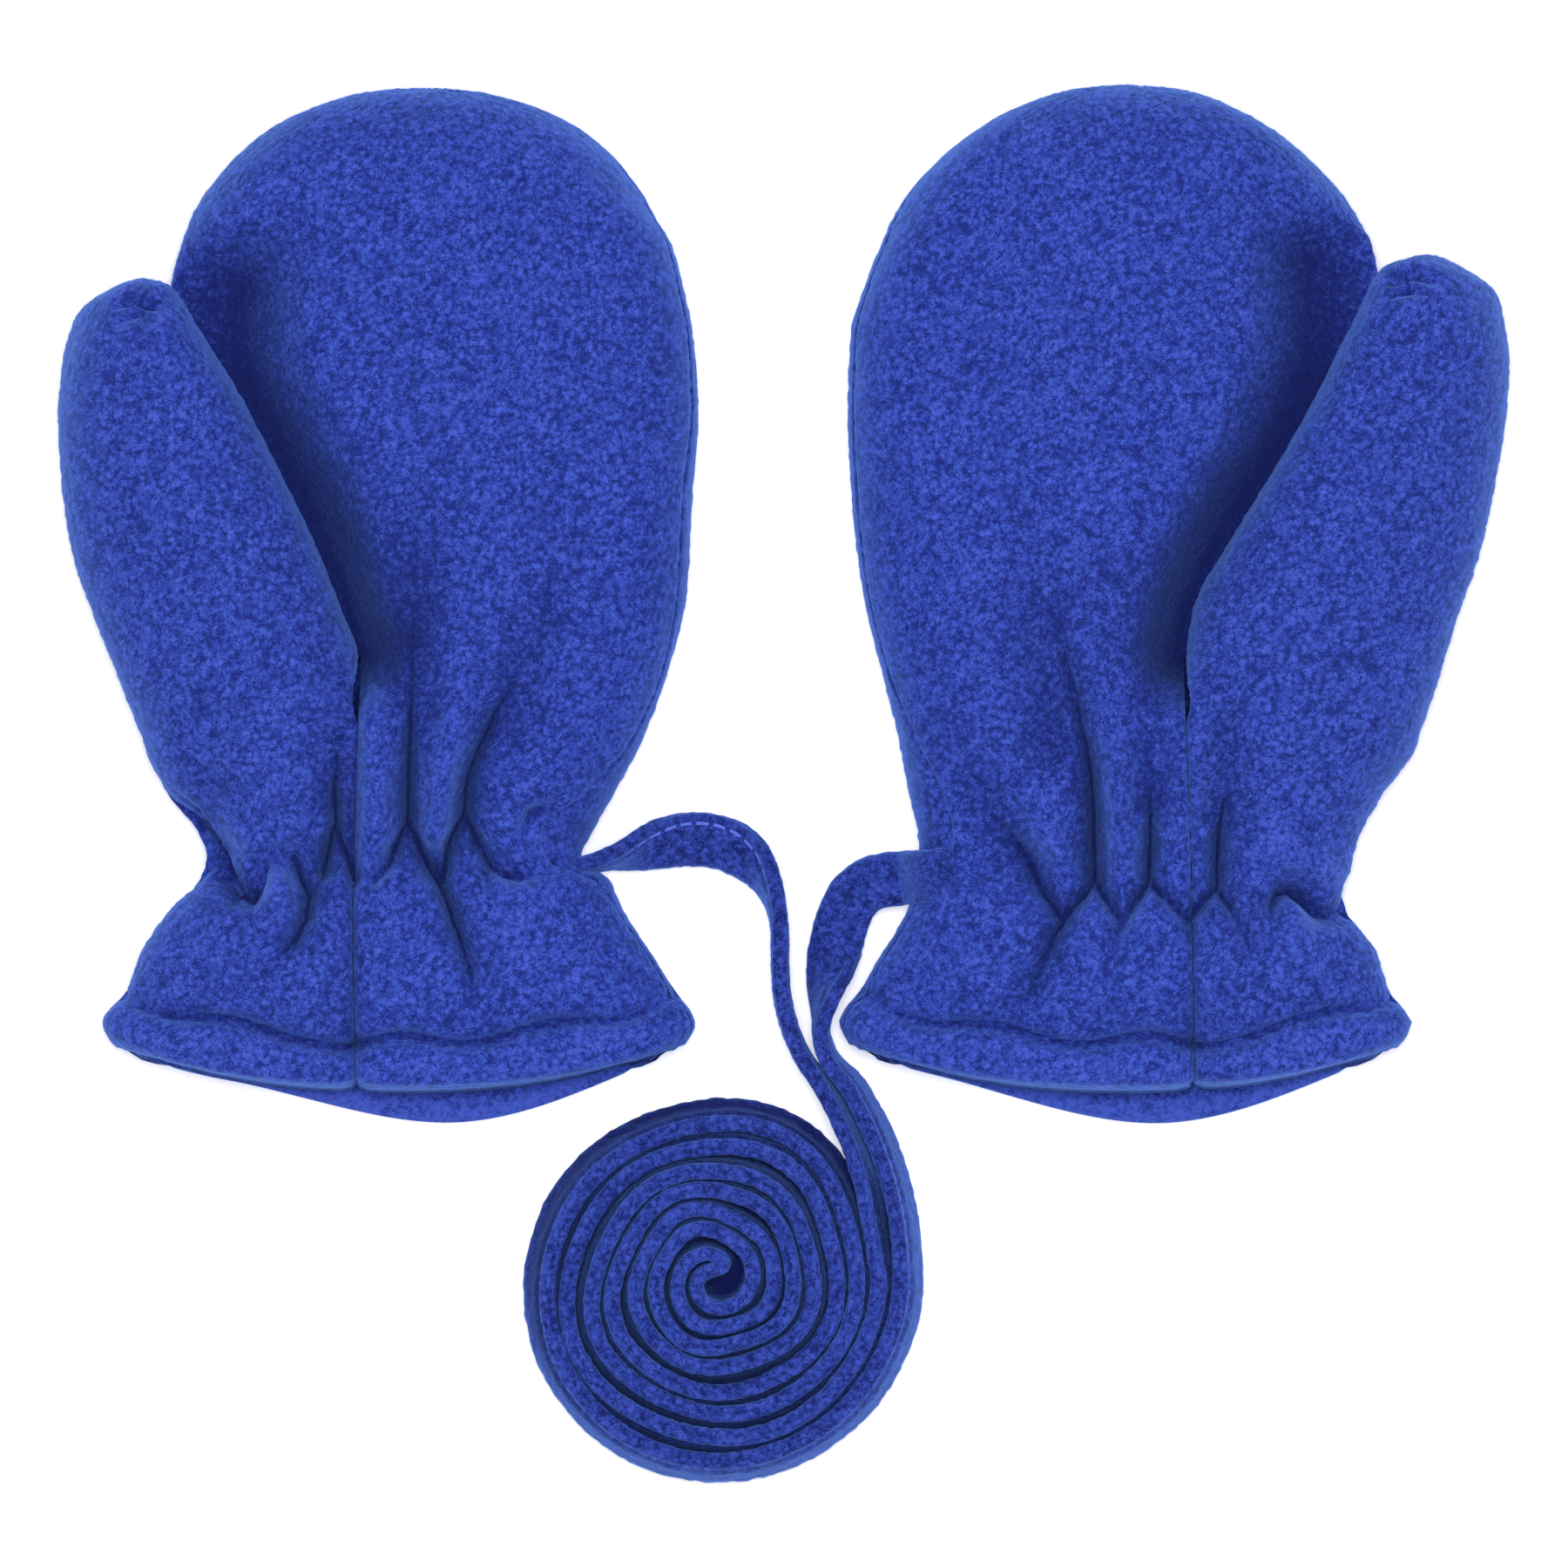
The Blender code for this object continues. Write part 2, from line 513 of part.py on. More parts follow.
def relief(mitten, along, surface):
    """How far the gathers, the hem and the middle seam move the cloth outwards."""
    out = surface[..., 0]
    place = surface[..., 1]
    total = np.zeros(out.shape)
    for fold in mitten.folds:
        above = (place - fold.along) / fold.reach_up
        below = (fold.along - place) / fold.reach_down
        run = np.clip(np.maximum(above, below), 0.0, 1.0)
        target = np.where(above >= 0.0, fold.up, fold.down)
        centre = fold.out + (target - fold.out) * run
        fade = np.cos(run * math.pi / 2.0) ** 2
        total -= fold.depth * fade * np.exp(-((out - centre) / fold.width) ** 2)
    stitches = HEM_START + HEM_DEPTH
    hem_edge = smoothstep(HEM_START, HEM_START + HEM_ROUND, along)
    total += HEM_SWELL * (1.0 - smoothstep(stitches, stitches + HEM_FALL, along)) * hem_edge
    total -= STITCH_DEPTH * np.exp(-((along - stitches) / STITCH_WIDTH) ** 2)
    beside = out - column(mitten.guide, "out", place)
    lower = 1.0 - smoothstep(THUMB_START, CROTCH, along)
    total -= SEAM_DIP * lower * np.exp(-(beside / SEAM_DIP_WIDTH) ** 2)
    return total


def facing(surface, mitten, along, share):
    """Unit normals of a surface given as a function, on the side that faces up where it is level."""
    step = NORMAL_STEP
    onward = surface(mitten, along + step, share) - surface(mitten, along - step, share)
    sideways = surface(mitten, along, share + step) - surface(mitten, along, share - step)
    normal = np.cross(sideways, onward)
    length = np.linalg.norm(normal, axis=-1, keepdims=True)
    return normal / np.maximum(length, TINY)


def palm_panel(mitten):
    """The palm: from the hem to the fingertips, and above the crotch on in under the thumb."""
    rows = stations(HEM_START, LOWER_STRETCHES + HAND_STRETCHES)
    tip = rounded_stations(rows[-1], mitten.hand[-1].along, TIP_ROWS)
    along = np.concatenate((rows, tip))[:, None]
    middle, half, reach = hand_section(mitten, along)
    guide = column(mitten.guide, "out", along) - SEAM_GAP / 2.0
    seam = share_across(guide - middle, half, reach)
    wrap = column(mitten.hand, "wrap", along) + SEAM_GAP / 2.0
    string_side = share_across(wrap - half, half, reach)
    fingers = np.linspace(0.0, 1.0, FINGER_COLUMNS + 1)
    tucked = np.linspace(0.0, 1.0, TUCKED_COLUMNS + 1)[1:]
    share = np.concatenate((string_side + (seam - string_side) * fingers,
                            seam + (1.0 - seam) * tucked), axis=1)

    plain = palm_surface(mitten, along, share)
    normal = facing(palm_surface, mitten, along, share)
    moved = relief(mitten, along, plain)[..., None]
    under_thumb = smoothstep(CROTCH - TUCK_FADE, CROTCH, along) * (share > seam + NORMAL_STEP)
    moved = moved * (1.0 - under_thumb[..., None])
    outer = pressed(mitten, along, plain) + normal * moved
    inner = pressed(mitten, along, palm_surface(mitten, along, share, FLEECE), FLEECE)
    inner = inner + normal * moved * FOLD_SHARE
    keep = np.ones((len(along) - 1, share.shape[1] - 1), dtype=bool)
    keep[along[1:, 0] <= CROTCH + NORMAL_STEP, FINGER_COLUMNS:] = False
    return outer, inner, keep


def lower_palm_surface(mitten, along, share, inset=0.0):
    """The thumb side of the lower palm, from the middle seam (0) to its outer edge (1)."""
    middle, half, reach = hand_section(mitten, along)
    guide = column(mitten.guide, "out", along) + SEAM_GAP / 2.0
    seam = share_across(guide - middle, half, reach)
    return palm_surface(mitten, along, seam + (1.0 - seam) * np.clip(share, 0.0, 1.0), inset)


def thumb_surface(mitten, along, share, inset=0.0):
    """The thumb's upper half, from its inner edge (0) to its outer edge (1).

    It starts level with the lower palm and becomes half an ellipse on two edges, rounded at its tip.
    """
    edge_in = column(mitten.thumb, "inner", along) + SEAM_GAP / 2.0
    edge_out = column(mitten.thumb, "outer", along)
    angle = (2.0 * np.clip(share, 0.0, 1.0) - 1.0) * math.pi / 2.0
    turn = np.sin(angle)
    out = (edge_in + edge_out) / 2.0 + (edge_out - edge_in) / 2.0 * turn
    end = mitten.thumb[-1].along
    place = along + column(mitten.thumb, "bow", along) * turn * turn
    place = place + column(mitten.thumb, "tilt", along) * turn
    place = place - inset * tip_share(along, end, THUMB_ROUND)

    base_in = PRESSED_HEIGHT + THUMB_LIFT
    base = base_in + (column(mitten.thumb, "base", along) - base_in) * (turn + 1.0) / 2.0
    tip = tip_lift(along, end, THUMB_ROUND)
    rise = (THUMB_CROWN - inset) * tip * np.cos(angle)

    middle, half, reach = hand_section(mitten, along)
    half = (half + edge_out - middle) / 2.0
    middle = edge_out - half
    offset, lift = across(share_across(out - middle, half, reach), half - inset, reach - inset)
    level = palm_height(mitten, along, offset / (half - inset), lift, inset)

    free = smoothstep(THUMB_START, THUMB_CLEAR, along)
    out = (middle + offset) * (1.0 - free) + (out - inset * turn * tip) * free
    return np.stack([out, place, level * (1.0 - free) + (base + rise) * free], axis=-1)


def thumb_front_panel(mitten):
    """The lower palm's thumb side and, above the crotch, the thumb's upper half."""
    lower = stations(HEM_START, LOWER_STRETCHES)[:, None]
    upper = stations(THUMB_START, THUMB_STRETCHES)[1:]
    tip = rounded_stations(upper[-1], mitten.thumb[-1].along, THUMB_TIP_ROWS)
    upper = np.concatenate((upper, tip))[:, None]
    share = np.linspace(0.0, 1.0, THUMB_COLUMNS + 1)[None, :]

    along = np.concatenate((lower, upper))
    plain = np.concatenate((lower_palm_surface(mitten, lower, share),
                            thumb_surface(mitten, upper, share)))
    within = np.concatenate((lower_palm_surface(mitten, lower, share, FLEECE),
                             thumb_surface(mitten, upper, share, FLEECE)))
    normal = np.concatenate((facing(lower_palm_surface, mitten, lower, share),
                             facing(thumb_surface, mitten, upper, share)))
    moved = relief(mitten, along, plain)
    moved = (moved * (1.0 - smoothstep(THUMB_START, THUMB_START + FOLD_FADE, along)))[..., None]
    outer = plain + normal * moved
    inner = within + normal * moved * FOLD_SHARE
    keep = np.ones((len(along) - 1, THUMB_COLUMNS), dtype=bool)
    return outer, inner, keep


def thumb_under_panel(mitten):
    """The thumb's lower half: a layer that lies on the palm and hangs down beside the hand."""
    end = mitten.thumb[-1].along - FLEECE - THUMB_TIP_SLACK
    along = np.linspace(UNDER_START, end, UNDER_ROWS + 1)[:, None]
    share = np.linspace(0.0, 1.0, UNDER_COLUMNS + 1)[None, :]
    turn = 2.0 * share - 1.0
    place = along + column(mitten.thumb, "bow", along) * turn * turn
    place = place + column(mitten.thumb, "tilt", along) * turn
    inset = FLEECE + THUMB_SLACK
    edge_in = column(mitten.thumb, "inner", along) + inset
    edge_out = column(mitten.thumb, "outer", along) - inset
    hand_edge = column(mitten.hand, "thumb_edge", along) + SEAM_GAP
    free = smoothstep(0.0, DROOP_WIDTH, edge_out - hand_edge)
    edge_out = edge_out - THUMB_TUCK * (1.0 - free)
    out = edge_in + (edge_out - edge_in) * share
    droop = THUMB_DROOP * smoothstep(0.0, DROOP_WIDTH, out - hand_edge)
    lower = np.stack([out, place, PRESSED_HEIGHT + SEAM_GAP - droop], axis=-1)
    upper = lower + np.array([0.0, 0.0, UNDER_FLEECE])
    keep = np.ones((UNDER_ROWS, UNDER_COLUMNS), dtype=bool)
    return upper, lower, keep


def back_panel(mitten):
    """The back: its underside, and on the string side on round the edge to the palm's own edge."""
    rows = stations(HEM_START, LOWER_STRETCHES + HAND_STRETCHES)
    tip = rounded_stations(rows[-1], mitten.hand[-1].along, TIP_ROWS)
    along = np.concatenate((rows, tip))[:, None]
    middle, half, reach = hand_section(mitten, along)
    wrap = column(mitten.hand, "wrap", along) - SEAM_GAP / 2.0
    string_side = share_across(wrap - half, half, reach)
    round_edge = np.linspace(0.0, 1.0, TOP_COLUMNS + 1)[:-1]
    top = string_side + (-1.0 - string_side) * round_edge
    border = np.linspace(1.0, BORDER, BORDER_COLUMNS + 1)
    flat = np.linspace(BORDER, -BORDER, FLAT_COLUMNS + 1)
    bottom = np.concatenate((-border, -flat[1:], border[::-1][1:]))[None, :]

    wrapped = palm_surface(mitten, along, top)
    normal = facing(palm_surface, mitten, along, top)
    moved = relief(mitten, along, wrapped)[..., None]
    outer = np.concatenate((wrapped + normal * moved,
                            back_surface(mitten, along, bottom)), axis=1)
    within = palm_surface(mitten, along, top, FLEECE) + normal * moved * FOLD_SHARE
    inner = np.concatenate((within, back_surface(mitten, along, bottom, FLEECE)), axis=1)
    beside = np.abs(outer[..., 0] - mitten.drop_centre)
    hem = BACK_DROP * (1.0 - smoothstep(HEM_START, HEM_START + DROP_FADE, along))
    hem = hem * (1.0 - smoothstep(0.0, DROP_REACH, beside))
    outer[..., 1] -= hem
    inner[..., 1] -= hem
    keep = np.ones((len(along) - 1, outer.shape[1] - 1), dtype=bool)
    return outer, inner, keep


# ------------------------------------------------------------------------------- the string


def grounded(path, thickness):
    """Turn a route's lift into the height of the strip's middle, so that its lowest edge is there."""
    roll = np.radians(path[:, 3])
    upright = np.abs(np.sin(roll))
    edge = STRING_WIDTH / 2.0 * upright
    shoulder = (STRING_WIDTH / 2.0 - STRING_SHOULDER) * upright + thickness / 2.0 * np.abs(np.cos(roll))
    raised = path.copy()
    raised[:, 2] += np.maximum(edge, shoulder)
    return raised


def coil_radius(turn):
    """Radius of the doubled string's top edge after a number of turns, and its fall in one turn."""
    rest = 1.0 - turn / COIL_TURNS
    span = COIL_OUTER - COIL_INNER
    radius = COIL_INNER + span * rest * (1.0 + COIL_EASE * rest) / (1.0 + COIL_EASE)
    for bulge in COIL_BULGES:
        radius = radius + bulge.height * np.exp(-((turn - bulge.turn) / bulge.width) ** 2)
    fall = span / COIL_TURNS * (1.0 + 2.0 * COIL_EASE * rest) / (1.0 + COIL_EASE)
    return radius, fall


def coil_strand(layer):
    """One strand of the doubled string, layer -1 inside and 1 outside: route and thickness."""
    turn = np.linspace(0.0, COIL_TURNS, int(COIL_TURNS * COIL_STEPS) + 1)
    radius, fall = coil_radius(turn)
    lean = np.radians(COIL_LEAN) * (1.0 - turn / COIL_TURNS)
    radius = radius + layer * fall / 4.0 + STRING_WIDTH / 2.0 * np.sin(lean)
    angle = -2.0 * math.pi * turn
    x = COIL_CENTRE[0] + radius * np.cos(angle)
    y = COIL_CENTRE[1] + radius * np.sin(angle)
    roll = 90.0 - layer * np.degrees(lean)
    thickness = (fall / 2.0 - SEAM_GAP - COIL_SLACK) * np.cos(lean)
    return np.stack([x, y, np.zeros_like(x), roll], axis=1), thickness


def coil_route():
    """The wound stretch: in along the inner strand, round the folded end and out along the outer."""
    inward, thin = coil_strand(-1.0)
    outward, thick = coil_strand(1.0)
    start = inward[-1, :2]
    finish = outward[-1, :2]
    centre = (start + finish) / 2.0
    radial = start - centre
    onward = inward[-1, :2] - inward[-2, :2]
    onward = onward / np.linalg.norm(onward) * np.linalg.norm(radial)
    bends = []
    for step in range(1, FOLD_STEPS):
        angle = math.pi * step / FOLD_STEPS
        x, y = centre + radial * math.cos(angle) + onward * math.sin(angle)
        bends.append([x, y, 0.0, 90.0])
    route = np.concatenate((inward, np.array(bends), outward[::-1]))
    thickness = np.concatenate((thin, np.full(len(bends), thin[-1]), thick[::-1]))
    return route, thickness


def free_route(points, coil_end):
    """A free stretch from its wrist to the coil, whose end is given; the coil's own place is left off."""
    rows = [(point.x, point.y, point.lift, point.roll) for point in points]
    path = path_through(rows + [coil_end], FREE_SECTIONS + 1)[:-1]
    thickness = np.full(len(path), STRING_THICKNESS)
    return grounded(path, thickness), thickness


def strip_rings(route, thickness):
    """Six-sided sections of the strip along its route, square to its heading and turned by its roll."""
    middle = route[:, :3]
    heading = np.gradient(middle, axis=0)
    heading /= np.linalg.norm(heading, axis=1, keepdims=True)
    left = np.cross(np.array([0.0, 0.0, 1.0]), heading)
    left /= np.linalg.norm(left, axis=1, keepdims=True)
    up = np.cross(heading, left)
    roll = np.radians(route[:, 3])[:, None]
    wide = np.cos(roll) * left + np.sin(roll) * up
    thick = np.cross(heading, wide)
    edge = STRING_WIDTH / 2.0
    shoulder = edge - STRING_SHOULDER
    corners = [
        (edge, 0.0),
        (shoulder, 0.5),
        (-shoulder, 0.5),
        (-edge, 0.0),
        (-shoulder, -0.5),
        (shoulder, -0.5),
    ]
    rings = [middle + wide * along + thick * side * thickness[:, None] for along, side in corners]
    return np.stack(rings, axis=1), heading


# ------------------------------------------------------------------------------- meshes and objects


def make_object(name, mesh_builder, cloth):
    """Make one named object with its own material from a mesh that is still being edited."""
    bmesh.ops.triangulate(mesh_builder, faces=mesh_builder.faces)
    bmesh.ops.recalc_face_normals(mesh_builder, faces=mesh_builder.faces)
    mesh = bpy.data.meshes.new(name)
    mesh_builder.to_mesh(mesh)
    mesh_builder.free()
    mesh.materials.append(cloth_material(cloth, name + "_" + cloth.name))
    mesh.shade_smooth()
    piece = bpy.data.objects.new(name, mesh)
    bpy.context.scene.collection.objects.link(piece)
    return piece


def to_world(mitten, surface):
    """Turn out, Y and height in millimetres into the model's X, Y and Z in metres."""
    world = surface.copy()
    world[..., 0] = mitten.middle + mitten.side * surface[..., 0]
    return world * METRES


def wall_mesh(outer, inner, keep):
    """Close two grids of points into a wall: both faces where a cell is kept, and the rim round them."""
    builder = bmesh.new()
    rows, columns = outer.shape[:2]
    corners = {}

    def corner(layer, row, place):
        key = (layer, row, place)
        if key not in corners:
            source = outer if layer == 0 else inner
            corners[key] = builder.verts.new(source[row, place])
        return corners[key]

    def kept(row, place):
        return 0 <= row < rows - 1 and 0 <= place < columns - 1 and keep[row, place]

    for row in range(rows - 1):
        for place in range(columns - 1):
            if not keep[row, place]:
                continue
            around = [(row, place), (row, place + 1), (row + 1, place + 1), (row + 1, place)]
            builder.faces.new([corner(0, *spot) for spot in around])
            builder.faces.new([corner(1, *spot) for spot in reversed(around)])
            beside = [(row - 1, place), (row, place + 1), (row + 1, place), (row, place - 1)]
            for side, neighbour in enumerate(beside):
                if kept(*neighbour):
                    continue
                first = around[side]
                second = around[(side + 1) % 4]
                builder.faces.new([corner(0, *second), corner(0, *first),
                                   corner(1, *first), corner(1, *second)])
    return builder


def strip_mesh(rings):
    """Join a strip's sections and close its two ends."""
    builder = bmesh.new()
    loops = [[builder.verts.new(point) for point in ring] for ring in rings * METRES]
    sides = len(loops[0])
    for before, after in zip(loops, loops[1:]):
        for side in range(sides):
            beside = (side + 1) % sides
            builder.faces.new([before[side], before[beside], after[beside], after[side]])
    builder.faces.new(list(reversed(loops[0])))
    builder.faces.new(loops[-1])
    return builder


def build_mitten(mitten):
    """The four panels of one mitten."""
    panels = [
        ("back", back_panel, BACK_CLOTH),
        ("palm", palm_panel, PALM_CLOTH),
        ("thumb_under", thumb_under_panel, BACK_CLOTH),
        ("thumb_front", thumb_front_panel, THUMB_CLOTH),
    ]
    for name, panel, cloth in panels:
        outer, inner, keep = panel(mitten)
        builder = wall_mesh(to_world(mitten, outer), to_world(mitten, inner), keep)
        make_object(mitten.name + "_" + name, builder, cloth)


def build_string():
    """The string's three stretches, cut from one run of sections a seam's gap apart."""
    coil, coil_thickness = coil_route()
    start = tuple(coil[0])
    finish = (*coil[-1, :3], 180.0 - coil[-1, 3])
    left, left_thickness = free_route(LEFT_ROUTE, start)
    right, right_thickness = free_route(RIGHT_ROUTE, finish)
    right[:, 3] = 180.0 - right[:, 3]
    route = np.concatenate((left, grounded(coil, coil_thickness), right[::-1]))
    thickness = np.concatenate((left_thickness, coil_thickness, right_thickness[::-1]))
    rings, heading = strip_rings(route, thickness)
    first = len(left)
    last = len(route) - len(right) - 1
    stretches = {
        "string_left": rings[:first + 1].copy(),
        "string_coil": rings[first:last + 1].copy(),
        "string_right": rings[last:].copy(),
    }
    stretches["string_left"][-1] -= heading[first] * SEAM_GAP
    stretches["string_right"][0] += heading[last] * SEAM_GAP
    for name, stretch in stretches.items():
        make_object(name, strip_mesh(stretch), STRING_CLOTH)


def main():
    for old in list(bpy.data.objects):
        bpy.data.objects.remove(old)
    for mitten in MITTENS:
        build_mitten(mitten)
    build_string()


main()
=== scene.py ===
# %% [markdown]
# # A pair of small child's fleece mittens on a string
#
# The real pair is cut from one royal blue anti-pill fleece. Each mitten has a back, a palm and a
# thumb in two halves, gathered at the wrist by a hidden elastic and hemmed at the cuff. A long
# folded strip of the same cloth joins the two wrists, so that a child can't lose one.
#
# They lie on a table with the palms up, and the camera looks straight down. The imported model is
# the fixed frame: its solids give every piece's place, and each panel below is a finer wall of
# cloth on the same form, with the creases, stitches and nap that the plain solids leave out.

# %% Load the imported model
import math
from collections import namedtuple

import bpy
import numpy as np
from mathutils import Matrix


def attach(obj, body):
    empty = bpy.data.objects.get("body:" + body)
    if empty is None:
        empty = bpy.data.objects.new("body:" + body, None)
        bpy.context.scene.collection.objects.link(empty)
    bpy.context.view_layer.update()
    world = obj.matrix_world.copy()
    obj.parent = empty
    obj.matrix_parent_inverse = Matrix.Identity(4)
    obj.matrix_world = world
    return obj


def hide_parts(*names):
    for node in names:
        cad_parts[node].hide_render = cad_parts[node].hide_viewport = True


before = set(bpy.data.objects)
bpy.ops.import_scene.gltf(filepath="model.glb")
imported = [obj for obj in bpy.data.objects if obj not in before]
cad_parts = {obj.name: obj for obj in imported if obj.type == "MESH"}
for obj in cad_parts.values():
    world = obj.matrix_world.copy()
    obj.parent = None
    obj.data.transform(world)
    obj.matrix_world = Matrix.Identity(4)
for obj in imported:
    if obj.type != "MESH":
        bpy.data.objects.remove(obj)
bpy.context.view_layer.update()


# %% [markdown]
# ## The camera
#
# The pair was photographed from straight above. A camera could stand close with a short lens, but
# then the raised parts would look bigger than the flat ones. The outlines here are nearly those
# of a plan, so the camera stands far off with a long lens. Its frame is square and 261 mm wide.

# %% The camera looks straight down
MM = 0.001                  # one millimetre in the unit of the scene
VIEW_WIDTH = 261.0          # millimetres across the picture
VIEW_CENTRE = (0.07, -30.0)
CAMERA_HEIGHT = 3000.0

camera_data = bpy.data.cameras.new("camera")
camera_data.lens = camera_data.sensor_width * CAMERA_HEIGHT / VIEW_WIDTH
camera_data.clip_end = 2.0 * CAMERA_HEIGHT * MM
camera = bpy.data.objects.new("camera", camera_data)
camera.location = (VIEW_CENTRE[0] * MM, VIEW_CENTRE[1] * MM, CAMERA_HEIGHT * MM)
bpy.context.scene.collection.objects.link(camera)
bpy.context.scene.camera = camera
print("the camera has a lens of", round(camera_data.lens), "mm")

# %% [markdown]
# ## Smooth curves through a few measures
#
# A pattern cutter marks a few widths and joins them with a curve. The same is done here: a short
# table holds the measures, and a cubic joins them. Straight lines would leave a corner at each
# row. The slopes at a table's rows are chosen so that the curve never swings out past them. A
# route through places is left freer, so that it bends evenly.

# %% Curves and steps


def smoothstep(start, end, value):
    """Rise from 0 at start to 1 at end, level at both: three shares squared less two cubed."""
    share = np.clip((value - start) / (end - start), 0.0, 1.0)
    return share * share * (3.0 - 2.0 * share)


def hermite(keys, values, slopes, at):
    """A cubic through the values at the keys, with the given slopes, read at the places at."""
    cell = np.clip(np.searchsorted(keys, at, side="right") - 1, 0, len(keys) - 2)
    length = keys[cell + 1] - keys[cell]
    share = np.clip((at - keys[cell]) / length, 0.0, 1.0)
    rest = 1.0 - share
    return (values[cell] * rest * rest * (1.0 + 2.0 * share)
            + values[cell + 1] * share * share * (3.0 - 2.0 * share)
            + slopes[cell] * length * share * rest * rest
            - slopes[cell + 1] * length * share * share * rest)


def column(rows, name, at):
    """One column of a table read between its rows, with the weighted harmonic mean as slope."""
    keys = np.array([row.along for row in rows])
    values = np.array([getattr(row, name) for row in rows])
    length = np.diff(keys)
    rise = np.diff(values) / length
    slopes = np.concatenate(([rise[0]], np.zeros(len(keys) - 2), [rise[-1]]))
    same_way = rise[:-1] * rise[1:] > 0.0
    before = np.where(same_way, rise[:-1], 1.0)
    after = np.where(same_way, rise[1:], 1.0)
    weight_before = 2.0 * length[1:] + length[:-1]
    weight_after = length[1:] + 2.0 * length[:-1]
    mean = (weight_before + weight_after) / (weight_before / before + weight_after / after)
    slopes[1:-1] = np.where(same_way, mean, 0.0)
    return hermite(keys, values, slopes, np.asarray(at, dtype=float))


def run_of(path):
    """How far along a path each of its points is: the sum of the steps before it."""
    steps = np.linalg.norm(np.diff(path, axis=0), axis=1)
    return np.concatenate(([0.0], np.cumsum(steps)))


def path_through(points, count):
    """Read count places on a smooth curve through points with any number of columns."""
    points = np.array(points, dtype=float)
    keys = run_of(points[:, :2])
    at = np.linspace(0.0, keys[-1], count)
    columns = [hermite(keys, values, np.gradient(values, keys), at) for values in points.T]
    return np.stack(columns, axis=1)


print("halfway up a smooth step:", smoothstep(0.0, 1.0, 0.5))

# %% [markdown]
# ## The nap
#
# Fleece is a knit whose loops have been brushed into small woolly clumps, a little over a
# millimetre apart. Hair particles could make it, but they are heavy and don't survive an export.
# Here the clumps are real bumps in each wall, from noise worked out in space, and the material
# adds the finer fibres. The noise reads a block of random numbers from a fixed seed, so each run
# gives the same cloth.

# %% Noise for the nap
CLUMP = 0.65                # half the way, in millimetres, from one clump of nap to the next
NAP_DEPTH = 0.55            # how far the clumps stand out
NAP_SEED = 11
LATTICE = 64                # random numbers each way in the block
# The clumps are pulled out of line, have smaller ones on them, and lie thicker in patches. Each of
# these is noise of its own size, read at its own distance from the clumps' noise.
WARP_SIZE = 2.0 * CLUMP
WARP_AWAY = 31.0
SMALL_SIZE = CLUMP / 2.0
SMALL_AWAY = 57.0
PATCH_SIZE = 5.0 * CLUMP
PATCH_AWAY = 13.0
CLUMP_SHARE = 0.65
SMALL_SHARE = 0.2
PATCH_SHARE = 0.15

lattice = np.random.default_rng(NAP_SEED).random((LATTICE, LATTICE, LATTICE))


def noise(points, size):
    """Random values on a cubic lattice with cells of the given size, blended smoothly between."""
    places = points / size
    cell = np.floor(places).astype(int)
    share = places - cell
    share = share * share * (3.0 - 2.0 * share)
    total = np.zeros(points.shape[:-1])
    for corner in np.ndindex(2, 2, 2):
        weight = np.prod(np.where(corner, share, 1.0 - share), axis=-1)
        index = np.moveaxis((cell + corner) % LATTICE, -1, 0)
        total += weight * lattice[index[0], index[1], index[2]]
    return total


def nap_height(points):
    """The nap at points in millimetres, from 0 to 1: clumps, smaller clumps, and soft patches."""
    warp = noise(points + WARP_AWAY, WARP_SIZE)[..., None] * CLUMP
    clumps = noise(points + warp, CLUMP)
    small = noise(points + warp + SMALL_AWAY, SMALL_SIZE)
    patches = noise(points + PATCH_AWAY, PATCH_SIZE)
    return CLUMP_SHARE * clumps + SMALL_SHARE * small + PATCH_SHARE * patches


print("the nap's clumps are", 2.0 * CLUMP, "mm apart and stand out by", NAP_DEPTH, "mm")

# %% [markdown]
# ## Putting a surface into a mesh
#
# Every piece here is a grid of points worked out at once. Blender's own modifiers could thicken a
# single sheet, but the hem and the seams need edges of their own form. So a wall of cloth has two
# grids, and the inner one has every second point, because it hardly shows. The faces are lists of
# numbers into those grids, and a rim of five-sided faces closes the wall all round.

# %% Meshes from grids of points


def make_piece(name, points, faces, material):
    """One named object from points in millimetres and faces that point outwards."""
    used, places = np.unique(np.concatenate([face.ravel() for face in faces]), return_inverse=True)
    polygons = []
    start = 0
    for face in faces:
        polygons.extend(places[start:start + face.size].reshape(face.shape).tolist())
        start += face.size
    mesh = bpy.data.meshes.new(name)
    mesh.from_pydata((points[used] * MM).tolist(), [], polygons)
    mesh.materials.append(material)
    mesh.shade_smooth()
    piece = bpy.data.objects.new(name, mesh)
    bpy.context.scene.collection.objects.link(piece)
    return piece, used


def add_values(piece, name, values):
    """Store one number for each vertex, for the material to read."""
    attribute = piece.data.attributes.new(name, "FLOAT", "POINT")
    attribute.data.foreach_set("value", np.ascontiguousarray(values, dtype=np.float32))


def quads(grid, cells):
    """The four corners of each of the chosen cells of a grid, in order round it."""
    around = [grid[:-1, :-1], grid[:-1, 1:], grid[1:, 1:], grid[1:, :-1]]
    return np.stack([corner[cells] for corner in around], axis=1)


